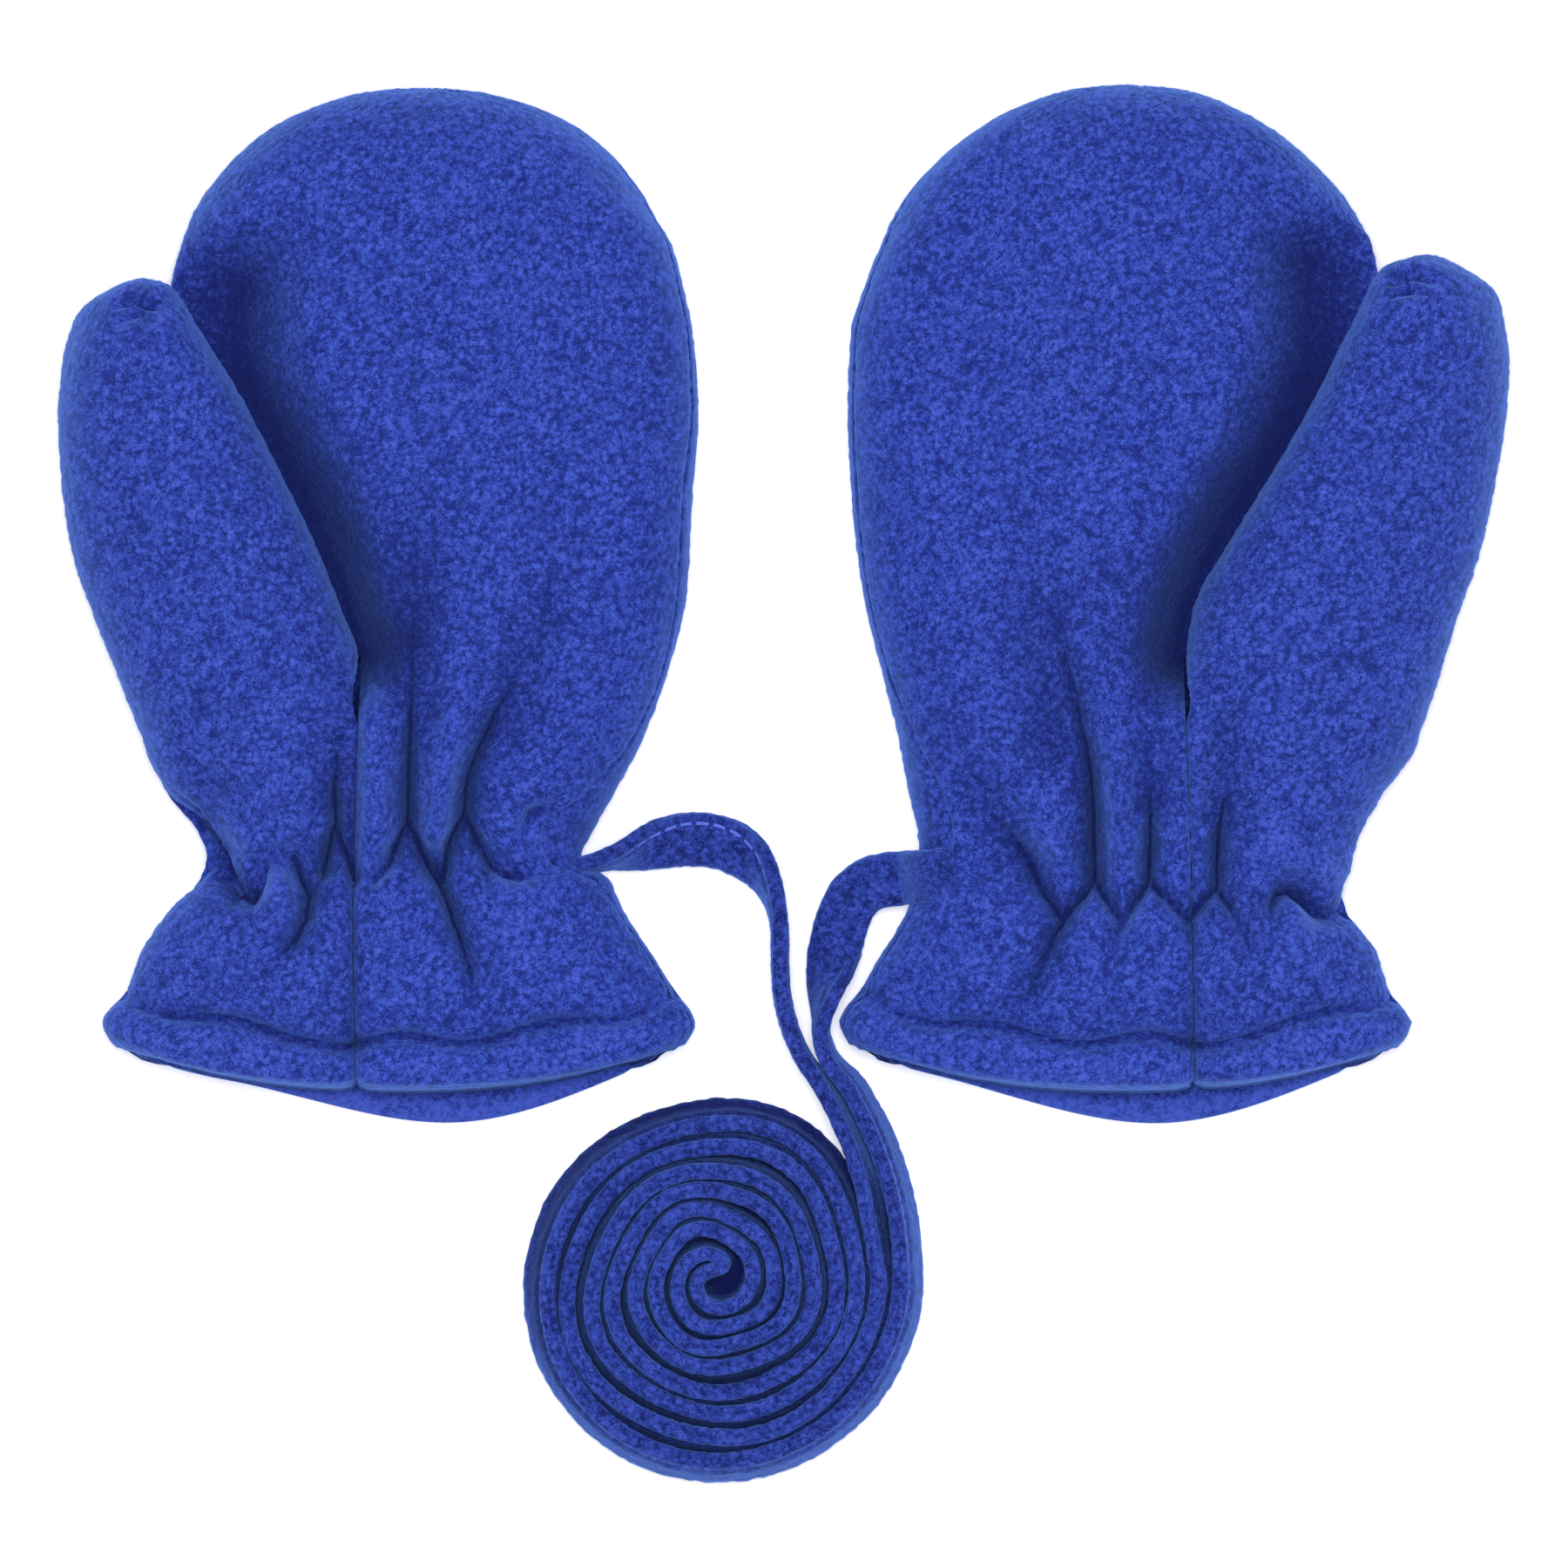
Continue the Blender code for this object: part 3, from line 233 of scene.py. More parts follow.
def wall_faces(keep, flipped):
    """Faces of a wall: keep says which cells are cloth, and the outer grid halves each of them.

    The outer grid's points come first, then the inner grid's.
    """
    rows, columns = keep.shape
    outer = np.arange((2 * rows + 1) * (2 * columns + 1)).reshape(2 * rows + 1, 2 * columns + 1)
    inner = outer.size + np.arange((rows + 1) * (columns + 1)).reshape(rows + 1, columns + 1)
    fine = np.repeat(np.repeat(keep, 2, axis=0), 2, axis=1)
    framed = np.pad(keep, 1)
    far = outer[::2, ::2]
    low = slice(None, -1)
    high = slice(1, None)
    # Each side of a cell has a neighbour, two corners, and the outer grid's point between them.
    sides = [
        (framed[:-2, 1:-1], (low, low), (low, high), outer[:-1:2, 1::2]),
        (framed[1:-1, 2:], (low, high), (high, high), outer[1::2, 2::2]),
        (framed[2:, 1:-1], (high, high), (high, low), outer[2::2, 1::2]),
        (framed[1:-1, :-2], (high, low), (low, low), outer[1::2, :-1:2]),
    ]
    rims = []
    for neighbour, first, second, between in sides:
        edge = keep & ~neighbour
        ring = [far[second], between, far[first], inner[first], inner[second]]
        rims.append(np.stack([corner[edge] for corner in ring], axis=1))
    faces = [quads(outer, fine), quads(inner, keep)[:, ::-1], np.concatenate(rims)]
    return [face[:, ::-1] for face in faces] if flipped else faces


face_count = sum(len(face) for face in wall_faces(np.ones((2, 2), bool), False))
print("a wall of 2 by 2 cells has", face_count, "faces")

# %% [markdown]
# ## A panel of cloth
#
# Cut fleece has soft edges: a sewn one rolls in a little, and a hem is a round fold. A bevel
# could round them, but the nap is in the same grid. So each face turns in near its own edges, and
# gets its nap on top of that. Two numbers go with every point for the material: how high the nap
# stands, and how deep in a crease it lies, for painted shade there and painted light on ridges.

# %% A wall of cloth
# How deep a point lies in a crease sets its painted shade:
FULL_CREASE = 5.0           # millimetres down at which a crease is at its darkest
CREASE_POWER = 1.6          # above 1, so that a shallow crease is hardly darker
NAP_MIDDLE = 0.5            # nap of this height leaves the cloth where it is
HEM_ROLL = 1.0              # the hem's fold is rounded over this radius
SEAM_ROLL = 0.22            # and a sewn edge over this one
ROLL_SHARE = 0.85           # of those radii that an edge turns in, so that a thin rim is left
TINY = 1e-9                 # keeps a division by zero away where a grid comes to a point


def surface_normals(surface):
    """Unit normals of a grid of points: the cross product of its two differences."""
    onward = np.gradient(surface, axis=0)
    sideways = np.gradient(surface, axis=1)
    normal = np.cross(sideways, onward)
    return normal / np.maximum(np.linalg.norm(normal, axis=-1, keepdims=True), TINY)


def run_along(surface, axis):
    """Millimetres from a grid's first line to each of its points, measured along one axis."""
    steps = np.linalg.norm(np.diff(surface, axis=axis), axis=-1)
    run = np.cumsum(steps, axis=axis)
    return np.concatenate((np.zeros_like(np.take(run, [0], axis=axis)), run), axis=axis)


def rolled(surface):
    """How far a face turns in near its edges: a quarter circle's drop over each edge's radius."""
    hem = run_along(surface, 0)
    side = run_along(surface, 1)
    turned = np.zeros(surface.shape[:2])
    edges = [(hem, HEM_ROLL), (hem[-1:] - hem, SEAM_ROLL),
             (side, SEAM_ROLL), (side[:, -1:] - side, SEAM_ROLL)]
    for distance, radius in edges:
        share = 1.0 - np.clip(distance / radius, 0.0, 1.0)
        turned = np.maximum(turned, ROLL_SHARE * radius * (1.0 - np.sqrt(1.0 - share ** 2)))
    return turned


def lay_cloth(name, outer, inner, keep, mitten, material, depth, nap=1.0):
    """Make a wall of cloth from two grids of out, Y and height, with rounded edges and a nap.

    depth is how far each point lies down in a crease, and sets a painted shade there. On a ridge
    it is less than nothing, and sets a painted light.
    """
    normal = surface_normals(outer)
    turned = rolled(outer)[..., None]
    world = outer.copy()
    world[..., 0] = mitten.middle + mitten.side * outer[..., 0]
    height = nap_height(world)
    moved = outer + normal * ((height - NAP_MIDDLE)[..., None] * NAP_DEPTH * nap - turned)
    within = (inner + normal * turned)[::2, ::2]
    points = np.concatenate((moved.reshape(-1, 3), within.reshape(-1, 3)))
    points[:, 0] = mitten.middle + mitten.side * points[:, 0]
    piece, used = make_piece(name, points, wall_faces(keep, mitten.side < 0.0), material)
    values = np.concatenate((height.ravel(), height[::2, ::2].ravel()))
    add_values(piece, "nap", values[used])
    # Painted shade down in creases, painted light where depth is below nothing; the inner face gets     only the painted light.
    share = np.clip(depth / FULL_CREASE, -1.0, 1.0)
    shade = np.where(share > 0.0, np.abs(share) ** CREASE_POWER, share)
    shade = np.concatenate((shade.ravel(), np.minimum(shade, 0.0)[::2, ::2].ravel()))
    add_values(piece, "crease", shade[used])
    return piece


def all_cells(surface):
    """Which cells of a wall are cloth, where all of them are: two of the grid's steps a cell."""
    rows, columns = surface.shape[:2]
    return np.ones(((rows - 1) // 2, (columns - 1) // 2), dtype=bool)


def grid_area(surface):
    """Square millimetres of a grid: half the cross products of its cells' diagonals."""
    first = surface[1:, 1:] - surface[:-1, :-1]
    second = surface[1:, :-1] - surface[:-1, 1:]
    return 0.5 * float(np.linalg.norm(np.cross(first, second), axis=-1).sum())


print("a hem turns in by", ROLL_SHARE * HEM_ROLL, "mm at its very edge")

# %% [markdown]
# ## The fleece
#
# Dyed fleece is dull and deep in colour, and its clumps are lighter on top than between, because
# the fibre tips scatter the light and the gaps hold shade. At its edges the loose fibres glow,
# which a lighter colour painted at the rim and the shader's sheen give. A photograph could be
# wrapped on, but a mix of noises at the clumps' and the fibres' real size looks the same from
# every side and has no seams.

# %% Dyes and patterns
Dye = namedtuple("Dye", "name deep body tip")

# All four are one fleece; the back's and the string's copies are darker, as painted shade.
DYES = [
    Dye("palm_fleece", (0.012, 0.026, 0.220), (0.028, 0.058, 0.415), (0.068, 0.126, 0.700)),
    Dye("back_fleece", (0.011, 0.023, 0.195), (0.025, 0.052, 0.370), (0.062, 0.114, 0.640)),
    Dye("thumb_fleece", (0.012, 0.027, 0.220), (0.029, 0.059, 0.410), (0.070, 0.128, 0.700)),
    Dye("string_fleece", (0.009, 0.018, 0.155), (0.022, 0.045, 0.320), (0.056, 0.100, 0.580)),
]
TONE_STOPS = (0.425, 0.495, 0.615)      # the tones at which the cloth is deep, body and tip

# The patterns' scales are in features to the metre.
PATTERNS = {
    "pebbles": ("ShaderNodeTexVoronoi", "Distance", {"Scale": 900.0}),
    "clumps": ("ShaderNodeTexNoise", "Fac",
               {"Scale": 1300.0, "Detail": 3.0, "Roughness": 0.6, "Distortion": 1.2}),
    "fibres": ("ShaderNodeTexNoise", "Fac",
               {"Scale": 2500.0, "Detail": 3.0, "Roughness": 0.7, "Distortion": 2.4}),
}
# The crease value darkens the tone as painted shade, and lightens it as painted light where it is
# below nothing.
TONE_WEIGHTS = {"nap": 0.18, "clumps": 0.52, "fibres": 0.30, "pebbles": -0.16, "crease": -0.09}
TONE_LIFT = 0.08
HEIGHT_WEIGHTS = {"clumps": 0.55, "fibres": 0.35, "pebbles": -0.20}
BUMP_STRENGTH = 0.8
BUMP_DEPTH = 0.00045        # in metres

FIBRE_COLOUR = (0.115, 0.215, 0.88, 1.0)
FIBRE_START = 0.61          # the fibre noise above which a fibre is seen
FIBRE_RISE = 9.0            # how fast it grows paler above that
FIBRE_SHARE = 0.6           # and the share of its own colour at its palest
# Painted shade: a dark colour mixed in by the crease value, in creases, hollows and crevices.
PAINTED_SHADE_COLOUR = (0.006, 0.011, 0.10, 1.0)
PAINTED_SHADE_SHARE = 0.8          # the share of that colour at a crease's bottom
# Painted glow: a lighter colour towards the outline, where the surface turns from the eye.
PAINTED_RIM_GLOW = (0.16, 0.34, 1.0, 1.0)
RIM_POWER = 2.7             # how close to the outline the rim's colour stays
RIM_SHARE = 0.9
RIM_CLOSING = 3.0           # how fast the rim's colour goes as a crease deepens

CLOTH_FINISH = {
    "Roughness": 0.95,
    "Specular IOR Level": 0.15,
    "Sheen Weight": 0.55,
    "Sheen Roughness": 0.25,
    "Sheen Tint": (0.15, 0.34, 1.0, 1.0),
}
print("the dyes are", [dye.name for dye in DYES])

# %% [markdown]
# ## Nodes for the cloth
#
# A material is a tree of small steps. Each could be wired by hand where it is used, but the same
# few come back again and again: arithmetic, a weighted sum and a blend of colours. A helper for
# each keeps the recipe of the cloth short enough to read.

# %% Helpers for the material's nodes


def math_node(tree, operation, *values):
    """One step of arithmetic on sockets and plain numbers."""
    node = tree.nodes.new("ShaderNodeMath")
    node.operation = operation
    for place, value in enumerate(values):
        if isinstance(value, float):
            node.inputs[place].default_value = value
        else:
            tree.links.new(value, node.inputs[place])
    return node.outputs[0]


def kept_within(tree, value, most):
    """A socket's number, held between nothing and the most that it may be."""
    return math_node(tree, "MINIMUM", math_node(tree, "MAXIMUM", value, 0.0), most)


def weighted(tree, parts, weights):
    """Add sockets up, each times its own weight."""
    total = 0.0
    for name, weight in weights.items():
        total = math_node(tree, "MULTIPLY_ADD", parts[name], weight, total)
    return total


def mixed(tree, first, second, share):
    """Blend two colours. Each of them, and the share of the second, is a socket or a value."""
    mix = tree.nodes.new("ShaderNodeMixRGB")
    for socket, value in zip(("Fac", "Color1", "Color2"), (share, first, second)):
        if isinstance(value, (float, tuple)):
            mix.inputs[socket].default_value = value
        else:
            tree.links.new(value, mix.inputs[socket])
    return mix.outputs["Color"]


def cloth_parts(tree):
    """What the cloth's colour and bumps are made from: two stored values and three patterns."""
    parts = {}
    for name in ("nap", "crease"):
        stored = tree.nodes.new("ShaderNodeAttribute")
        stored.attribute_name = name
        parts[name] = stored.outputs["Fac"]
    coordinates = tree.nodes.new("ShaderNodeTexCoord")
    for name, (kind, output, settings) in PATTERNS.items():
        pattern = tree.nodes.new(kind)
        for socket, value in settings.items():
            pattern.inputs[socket].default_value = value
        tree.links.new(coordinates.outputs["Object"], pattern.inputs["Vector"])
        parts[name] = pattern.outputs[output]
    return parts


print("the cloth's patterns are", sorted(PATTERNS))

# %% [markdown]
# ## The thread and the finished fleece
#
# The string's sewing shows on both its faces as a line of short pale dashes, just inside its open
# edge. They could be small meshes, but there would be hundreds. The strip has a UV map that
# counts tenths of a metre along it and once round it, so a dash is a place in that map. The
# cloth's colour is built up in this order: dye, loose fibres, painted shade in the creases, and a
# painted glow at the rim.

# %% The fleece material
THREAD_COLOUR = (0.14, 0.22, 0.90, 1.0)
STITCHES = 38.0             # in a tenth of a metre
STITCH_SHARE = 0.7          # of a stitch's length that the thread shows
THREAD_PLACES = (0.236, 0.984)          # shares of the way round the strip, one on each face
THREAD_SHARE = 0.011        # half the thread's width, as a share of the way round the strip


def stitches(tree):
    """1 on the thread and 0 beside it: dashes along the strip, at a place on each of its faces."""
    strip = tree.nodes.new("ShaderNodeUVMap")
    strip.uv_map = "strip"
    parts = tree.nodes.new("ShaderNodeSeparateXYZ")
    tree.links.new(strip.outputs["UV"], parts.inputs[0])
    dash = math_node(tree, "FRACT", math_node(tree, "MULTIPLY", parts.outputs[0], STITCHES))
    dash = math_node(tree, "LESS_THAN", dash, STITCH_SHARE)
    lines = [math_node(tree, "COMPARE", parts.outputs[1], place, THREAD_SHARE)
             for place in THREAD_PLACES]
    return math_node(tree, "MULTIPLY", dash, math_node(tree, "ADD", *lines))


def dyed(tree, tone, dye):
    """The dye's three colours, blended by a tone from deep in the nap to the fibres' tips."""
    ramp = tree.nodes.new("ShaderNodeValToRGB")
    stops = ramp.color_ramp.elements
    stops.new(TONE_STOPS[1])
    for stop, place, colour in zip(stops, TONE_STOPS, (dye.deep, dye.body, dye.tip)):
        stop.position = place
        stop.color = (*colour, 1.0)
    tree.links.new(tone, ramp.inputs["Fac"])
    return ramp.outputs["Color"]


def painted_rim_glow_share(tree, crease):
    """How much of the painted rim glow shows: the surface's turn from the eye, to a power."""
    edge = tree.nodes.new("ShaderNodeLayerWeight")
    rim = math_node(tree, "POWER", edge.outputs["Facing"], RIM_POWER)
    rim = math_node(tree, "MULTIPLY", rim, RIM_SHARE)
    closed = math_node(tree, "MULTIPLY", crease, RIM_CLOSING)
    open_cloth = kept_within(tree, math_node(tree, "SUBTRACT", 1.0, closed), 1.0)
    return math_node(tree, "MULTIPLY", rim, open_cloth)


def fleece(dye, stitched=False):
    """A brushed knit: dye, pale fibres, painted shade in creases, a painted rim glow, bumps,
    sheen.
    """
    material = bpy.data.materials.new(dye.name + "_cloth")
    material.use_nodes = True
    tree = material.node_tree
    shader = tree.nodes["Principled BSDF"]
    parts = cloth_parts(tree)

    tone = math_node(tree, "ADD", weighted(tree, parts, TONE_WEIGHTS), TONE_LIFT)
    colour = dyed(tree, tone, dye)
    loose = math_node(tree, "SUBTRACT", parts["fibres"], FIBRE_START)
    loose = kept_within(tree, math_node(tree, "MULTIPLY", loose, FIBRE_RISE), FIBRE_SHARE)
    colour = mixed(tree, colour, FIBRE_COLOUR, loose)
    # painted shade in the creases
    shade = math_node(tree, "MULTIPLY", parts["crease"], PAINTED_SHADE_SHARE)
    colour = mixed(tree, colour, PAINTED_SHADE_COLOUR, shade)
    # painted glow towards the outline
    colour = mixed(tree, colour, PAINTED_RIM_GLOW, painted_rim_glow_share(tree, parts["crease"]))
    if stitched:
        colour = mixed(tree, colour, THREAD_COLOUR, stitches(tree))
    tree.links.new(colour, shader.inputs["Base Color"])

    bump = tree.nodes.new("ShaderNodeBump")
    bump.inputs["Strength"].default_value = BUMP_STRENGTH
    bump.inputs["Distance"].default_value = BUMP_DEPTH
    tree.links.new(weighted(tree, parts, HEIGHT_WEIGHTS), bump.inputs["Height"])
    tree.links.new(bump.outputs["Normal"], shader.inputs["Normal"])
    for socket, value in CLOTH_FINISH.items():
        shader.inputs[socket].default_value = value
    return material


fleeces = {dye.name: fleece(dye, dye.name == "string_fleece") for dye in DYES}
print("made the finishes", sorted(fleeces))

# %% [markdown]
# ## The string
#
# The string is a strip of fleece folded along its length and stitched near its open edge, so it
# is flat, about nine millimetres wide and three thick. It leaves each wrist, and its long middle
# is doubled and wound into a flat coil, on edge. A curve with a bevel would lose the flat
# section's turning, so a section is carried along the route by hand. The route is the one that
# the solids follow: two free stretches from tables, and two strands of a spiral with a fold at
# its heart.

# %% The free stretches' places
SEAM_GAP = 0.3              # between two solids that are sewn together
SEWN_GAP = 0.02             # between two panels' edges: the cloth's seams are closer
STRING_WIDTH = 9.3
STRING_THICKNESS = 3.1
STRING_SHOULDER = 1.2       # from the strip's edge to where it has its full thickness

# lift is the height of the strip's lowest edge. roll is 0 or 180 where it lies flat, 90 on edge.
RoutePoint = namedtuple("RoutePoint", "x y lift roll")


def named_rows(kind, table):
    """A table's rows with the named columns of their kind."""
    return [kind(*row) for row in table]


LEFT_ROUTE = named_rows(RoutePoint, [
    (-31.0, -42.9, 0.6, 85.0),
    (-27.8, -42.1, 0.6, 74.0),
    (-24.2, -41.0, 0.6, 52.0),
    (-19.5, -39.7, 0.5, 24.0),
    (-14.4, -39.1, 0.3, 4.0),
    (-9.6, -40.0, 0.1, 12.0),
    (-5.4, -42.6, 0.0, 40.0),
    (-2.6, -46.6, 0.0, 70.0),
    (-0.9, -51.8, 0.0, 86.0),
    (-0.6, -57.6, 0.0, 90.0),
    (-0.3, -64.8, 0.0, 90.0),
    (1.1, -70.6, 0.0, 90.0),
    (3.2, -75.4, 0.0, 92.0),
    (6.4, -80.0, 0.0, 96.0),
    (9.2, -84.8, 0.0, 101.0),
    (11.9, -90.4, 0.0, 105.0),
    (14.1, -96.9, 0.0, 108.0),
    (15.6, -104.2, 0.0, 109.0),
])

RIGHT_ROUTE = named_rows(RoutePoint, [
    (20.1, -45.7, 3.2, 0.0),
    (17.1, -46.0, 2.6, 2.0),
    (14.1, -46.9, 1.6, 3.0),
    (11.8, -48.8, 0.6, 2.0),
    (10.3, -51.7, 0.1, 0.0),
    (9.1, -55.5, 0.0, 6.0),
    (8.1, -59.6, 0.0, 26.0),
    (7.2, -63.8, 0.0, 54.0),
    (6.6, -67.6, 0.0, 78.0),
    (6.2, -71.2, 0.0, 90.0),
    (7.5, -75.6, 0.0, 97.0),
    (11.2, -79.8, 0.0, 104.0),
    (14.0, -84.6, 0.0, 108.0),
    (16.5, -89.9, 0.0, 110.0),
    (18.4, -95.6, 0.0, 110.0),
    (19.8, -101.6, 0.0, 110.0),
    (20.5, -107.4, 0.0, 110.0),
])
print("the free stretches have", len(LEFT_ROUTE), "and", len(RIGHT_ROUTE), "places")

# %% [markdown]
# ## The coil's turns
#
# The doubled string is wound in from its two ends, so its fold sits at the heart. A rope's coil
# could be one spiral, but here two strands lie side by side, each half a turn's width thick. Both
# follow a radius that falls a little faster outside than inside, with bulges where the real turns
# stand off.

# %% The string's route
COIL_CENTRE = (-11.5, -112.5)
COIL_TURNS = 3.85
COIL_OUTER = 28.6
COIL_INNER = 3.2
COIL_EASE = 0.2             # how much faster the radius falls outside than inside
COIL_SLACK = 0.1            # more room between its strands than the seam gap
COIL_LOFT = 0.35            # the wound cloth is this much thicker than its solid, so turns touch
COIL_LEAN = 20.0            # degrees that the outermost turn leans
COIL_STEPS = 24             # sections in a turn
FOLD_STEPS = 6
FREE_SECTIONS = 26

# Where the coil's turns bulge out past its spiral: the place in turns, and how wide and how far.
Bulge = namedtuple("Bulge", "turn width height")

COIL_BULGES = [
    Bulge(0.33, 0.17, 1.2),
    Bulge(0.86, 0.08, 1.2),
    Bulge(1.33, 0.17, 0.6),
    Bulge(1.86, 0.08, 0.6),
]


def grounded(path, thickness):
    """Turn a route's lift into the height of the strip's middle, so its lowest edge is there."""
    roll = np.radians(path[:, 3])
    upright = np.abs(np.sin(roll))
    edge = STRING_WIDTH / 2.0 * upright
    shoulder = (STRING_WIDTH / 2.0 - STRING_SHOULDER) * upright
    shoulder = shoulder + thickness / 2.0 * np.abs(np.cos(roll))
    raised = path.copy()
    raised[:, 2] += np.maximum(edge, shoulder)
    return raised


def coil_radius(turn):
    """Radius of the doubled string's top edge after a number of turns, and its fall in a turn."""
    rest = 1.0 - turn / COIL_TURNS
    span = COIL_OUTER - COIL_INNER
    radius = COIL_INNER + span * rest * (1.0 + COIL_EASE * rest) / (1.0 + COIL_EASE)
    for bulge in COIL_BULGES:
        radius = radius + bulge.height * np.exp(-((turn - bulge.turn) / bulge.width) ** 2)
    fall = span / COIL_TURNS * (1.0 + 2.0 * COIL_EASE * rest) / (1.0 + COIL_EASE)
    return radius, fall


def coil_strand(layer):
    """One strand of the doubled string, layer -1 inside and 1 outside: route and thickness."""
    turn = np.linspace(0.0, COIL_TURNS, int(COIL_TURNS * COIL_STEPS) + 1)
    radius, fall = coil_radius(turn)
    lean = np.radians(COIL_LEAN) * (1.0 - turn / COIL_TURNS)
    radius = radius + layer * fall / 4.0 + STRING_WIDTH / 2.0 * np.sin(lean)
    angle = -2.0 * math.pi * turn
    x = COIL_CENTRE[0] + radius * np.cos(angle)
    y = COIL_CENTRE[1] + radius * np.sin(angle)
    roll = 90.0 - layer * np.degrees(lean)
    thickness = (fall / 2.0 - SEAM_GAP - COIL_SLACK) * np.cos(lean)
    return np.stack([x, y, np.zeros_like(x), roll], axis=1), thickness


def coil_route():
    """The wound stretch: in by the inner strand, round the folded end and out by the outer."""
    inward, thin = coil_strand(-1.0)
    outward, thick = coil_strand(1.0)
    centre = (inward[-1, :2] + outward[-1, :2]) / 2.0
    radial = inward[-1, :2] - centre
    onward = inward[-1, :2] - inward[-2, :2]
    onward = onward / np.linalg.norm(onward) * np.linalg.norm(radial)
    angle = math.pi * np.arange(1, FOLD_STEPS)[:, None] / FOLD_STEPS
    bends = np.zeros((FOLD_STEPS - 1, 4))
    bends[:, :2] = centre + radial * np.cos(angle) + onward * np.sin(angle)
    bends[:, 3] = 90.0
    route = np.concatenate((inward, bends, outward[::-1]))
    thickness = np.concatenate((thin, np.full(len(bends), thin[-1]), thick[::-1]))
    return route, thickness


def free_route(points, coil_end):
    """A free stretch from its wrist to the coil, whose end is given and left off."""
    path = path_through([tuple(point) for point in points] + [coil_end], FREE_SECTIONS + 1)[:-1]
    return grounded(path, np.full(len(path), STRING_THICKNESS))


coil, coil_thickness = coil_route()
left_end = free_route(LEFT_ROUTE, tuple(coil[0]))
right_end = free_route(RIGHT_ROUTE, (*coil[-1, :3], 180.0 - coil[-1, 3]))
right_end[:, 3] = 180.0 - right_end[:, 3]
string_route = np.concatenate((left_end, grounded(coil, coil_thickness), right_end[::-1]))
string_thickness = np.concatenate((np.full(len(left_end), STRING_THICKNESS),
                                   coil_thickness + COIL_LOFT,
                                   np.full(len(right_end), STRING_THICKNESS)))
print("the string's route has", len(string_route), "sections")

# %% [markdown]
# ## The strip's section
#
# The strip is a flat bar with round edges. One edge is the fold, and the other shows the slit
# between its two layers, with a line of stitches just inside it that draws the cloth in. Both
# could be bump in the material, but an outline shows them, so they are soft troughs in the
# section.

# %% The strip's section
RING_POINTS = 34
SLIT_DEPTH = 0.7
SLIT_WIDTH = 0.35
STITCH_INSET = 1.9          # from the strip's open edge to its line of stitches
THREAD_GROOVE = 0.35        # the share of its thickness that the strip loses there
GROOVE_WIDTH = 0.6


def strip_section(thickness):
    """A flat bar's outline for each thickness, as two grids: across the strip and through it.

    Straight for the bar's width less its thickness, then half a circle round each edge, and its
    points are evenly spaced. The slit and the stitches' grooves are soft troughs in it.
    """
    radius = thickness[:, None] / 2.0
    flat = STRING_WIDTH - 2.0 * radius
    girth = 2.0 * flat + 2.0 * math.pi * radius
    run = np.linspace(0.0, 1.0, RING_POINTS, endpoint=False)[None, :] * girth
    bend = math.pi * radius
    angle = np.clip(run / radius, 0.0, math.pi) - math.pi / 2.0
    far = np.clip((run - bend - flat) / radius, 0.0, math.pi) + math.pi / 2.0
    first_face = np.clip(run - bend, 0.0, flat)
    last_face = np.clip(run - 2.0 * bend - flat, 0.0, flat)
    start = run <= bend + flat
    wide = np.where(start, flat / 2.0 + radius * np.cos(angle) - first_face,
                    -flat / 2.0 + radius * np.cos(far) + last_face)
    thick = np.where(start, radius * np.sin(angle), radius * np.sin(far))
    inset = STRING_WIDTH / 2.0 - wide
    groove = 1.0 - THREAD_GROOVE * np.exp(-((inset - STITCH_INSET) / GROOVE_WIDTH) ** 2)
    slit = SLIT_DEPTH * np.exp(-(thick / SLIT_WIDTH) ** 2) * (wide > 0.0)
    return wide - slit, thick * groove


print("a ring of the strip has", RING_POINTS, "points")

# %% [markdown]
# ## How the wound turns settle
#
# Wound cloth is never even. Its turns wander in and out together, its upper edge sinks here and
# there, and its foot spreads until the turns touch. Blender's cloth simulation could settle it,
# but the solids give the coil's place, and it has to stay there. So slow waves move the turns a
# little, and the fold in the middle is rounded off.

# %% Wandering, easing and sinking
# A wave round the coil: its size, how many there are in a turn, where it starts, and how many
# millimetres further out it has moved on by a radian.
Wave = namedtuple("Wave", "size count start shift")

WANDER_WAVES = [Wave(1.0, 3.0, 0.9, 9.0), Wave(0.6, 5.0, 0.0, -6.0)]
WOBBLE = 0.45               # how far the turns wander in and out together
WANDER_START = 4.0          # they stay in place within this radius,
WANDER_FULL = 10.0          # and wander fully beyond this one
EASINGS = 14                # how often the fold in the middle is rounded off

# A drift along the strip: its size, how many millimetres it takes for a radian, and its start.
Drift = namedtuple("Drift", "size length start")

SINK_DRIFTS = [Drift(0.3, 37.0, 0.8), Drift(0.2, 13.0, 0.0)]
SINK_MIDDLE = 0.5
EDGE_DIP = 0.26             # the share of its width that the wound strip's top sinks at most
FOOT_SPREAD = 0.9           # the wound strip's foot is this much thicker than the rest
CORE_SPREAD = 4.5           # and still more within this many millimetres of the coil's middle
CORE_REACH = 7.0


def from_coil(points):
    """How far points are from the coil's centre, as seen from above."""
    return np.hypot(points[..., 0] - COIL_CENTRE[0], points[..., 1] - COIL_CENTRE[1])


def wandering(path, wound):
    """Move the turns in and out: waves round the coil, which shift with the radius."""
    moved = path.copy()
    arm = path[:, :2] - np.array(COIL_CENTRE)
    radius = from_coil(path)
    angle = np.arctan2(arm[:, 1], arm[:, 0])
    way = sum(wave.size * np.sin(wave.count * angle + wave.start + radius / wave.shift)
              for wave in WANDER_WAVES)
    way = way * smoothstep(WANDER_START, WANDER_FULL, radius) * wound
    moved[:, :2] += arm / radius[:, None] * (WOBBLE * way)[:, None]
    return moved


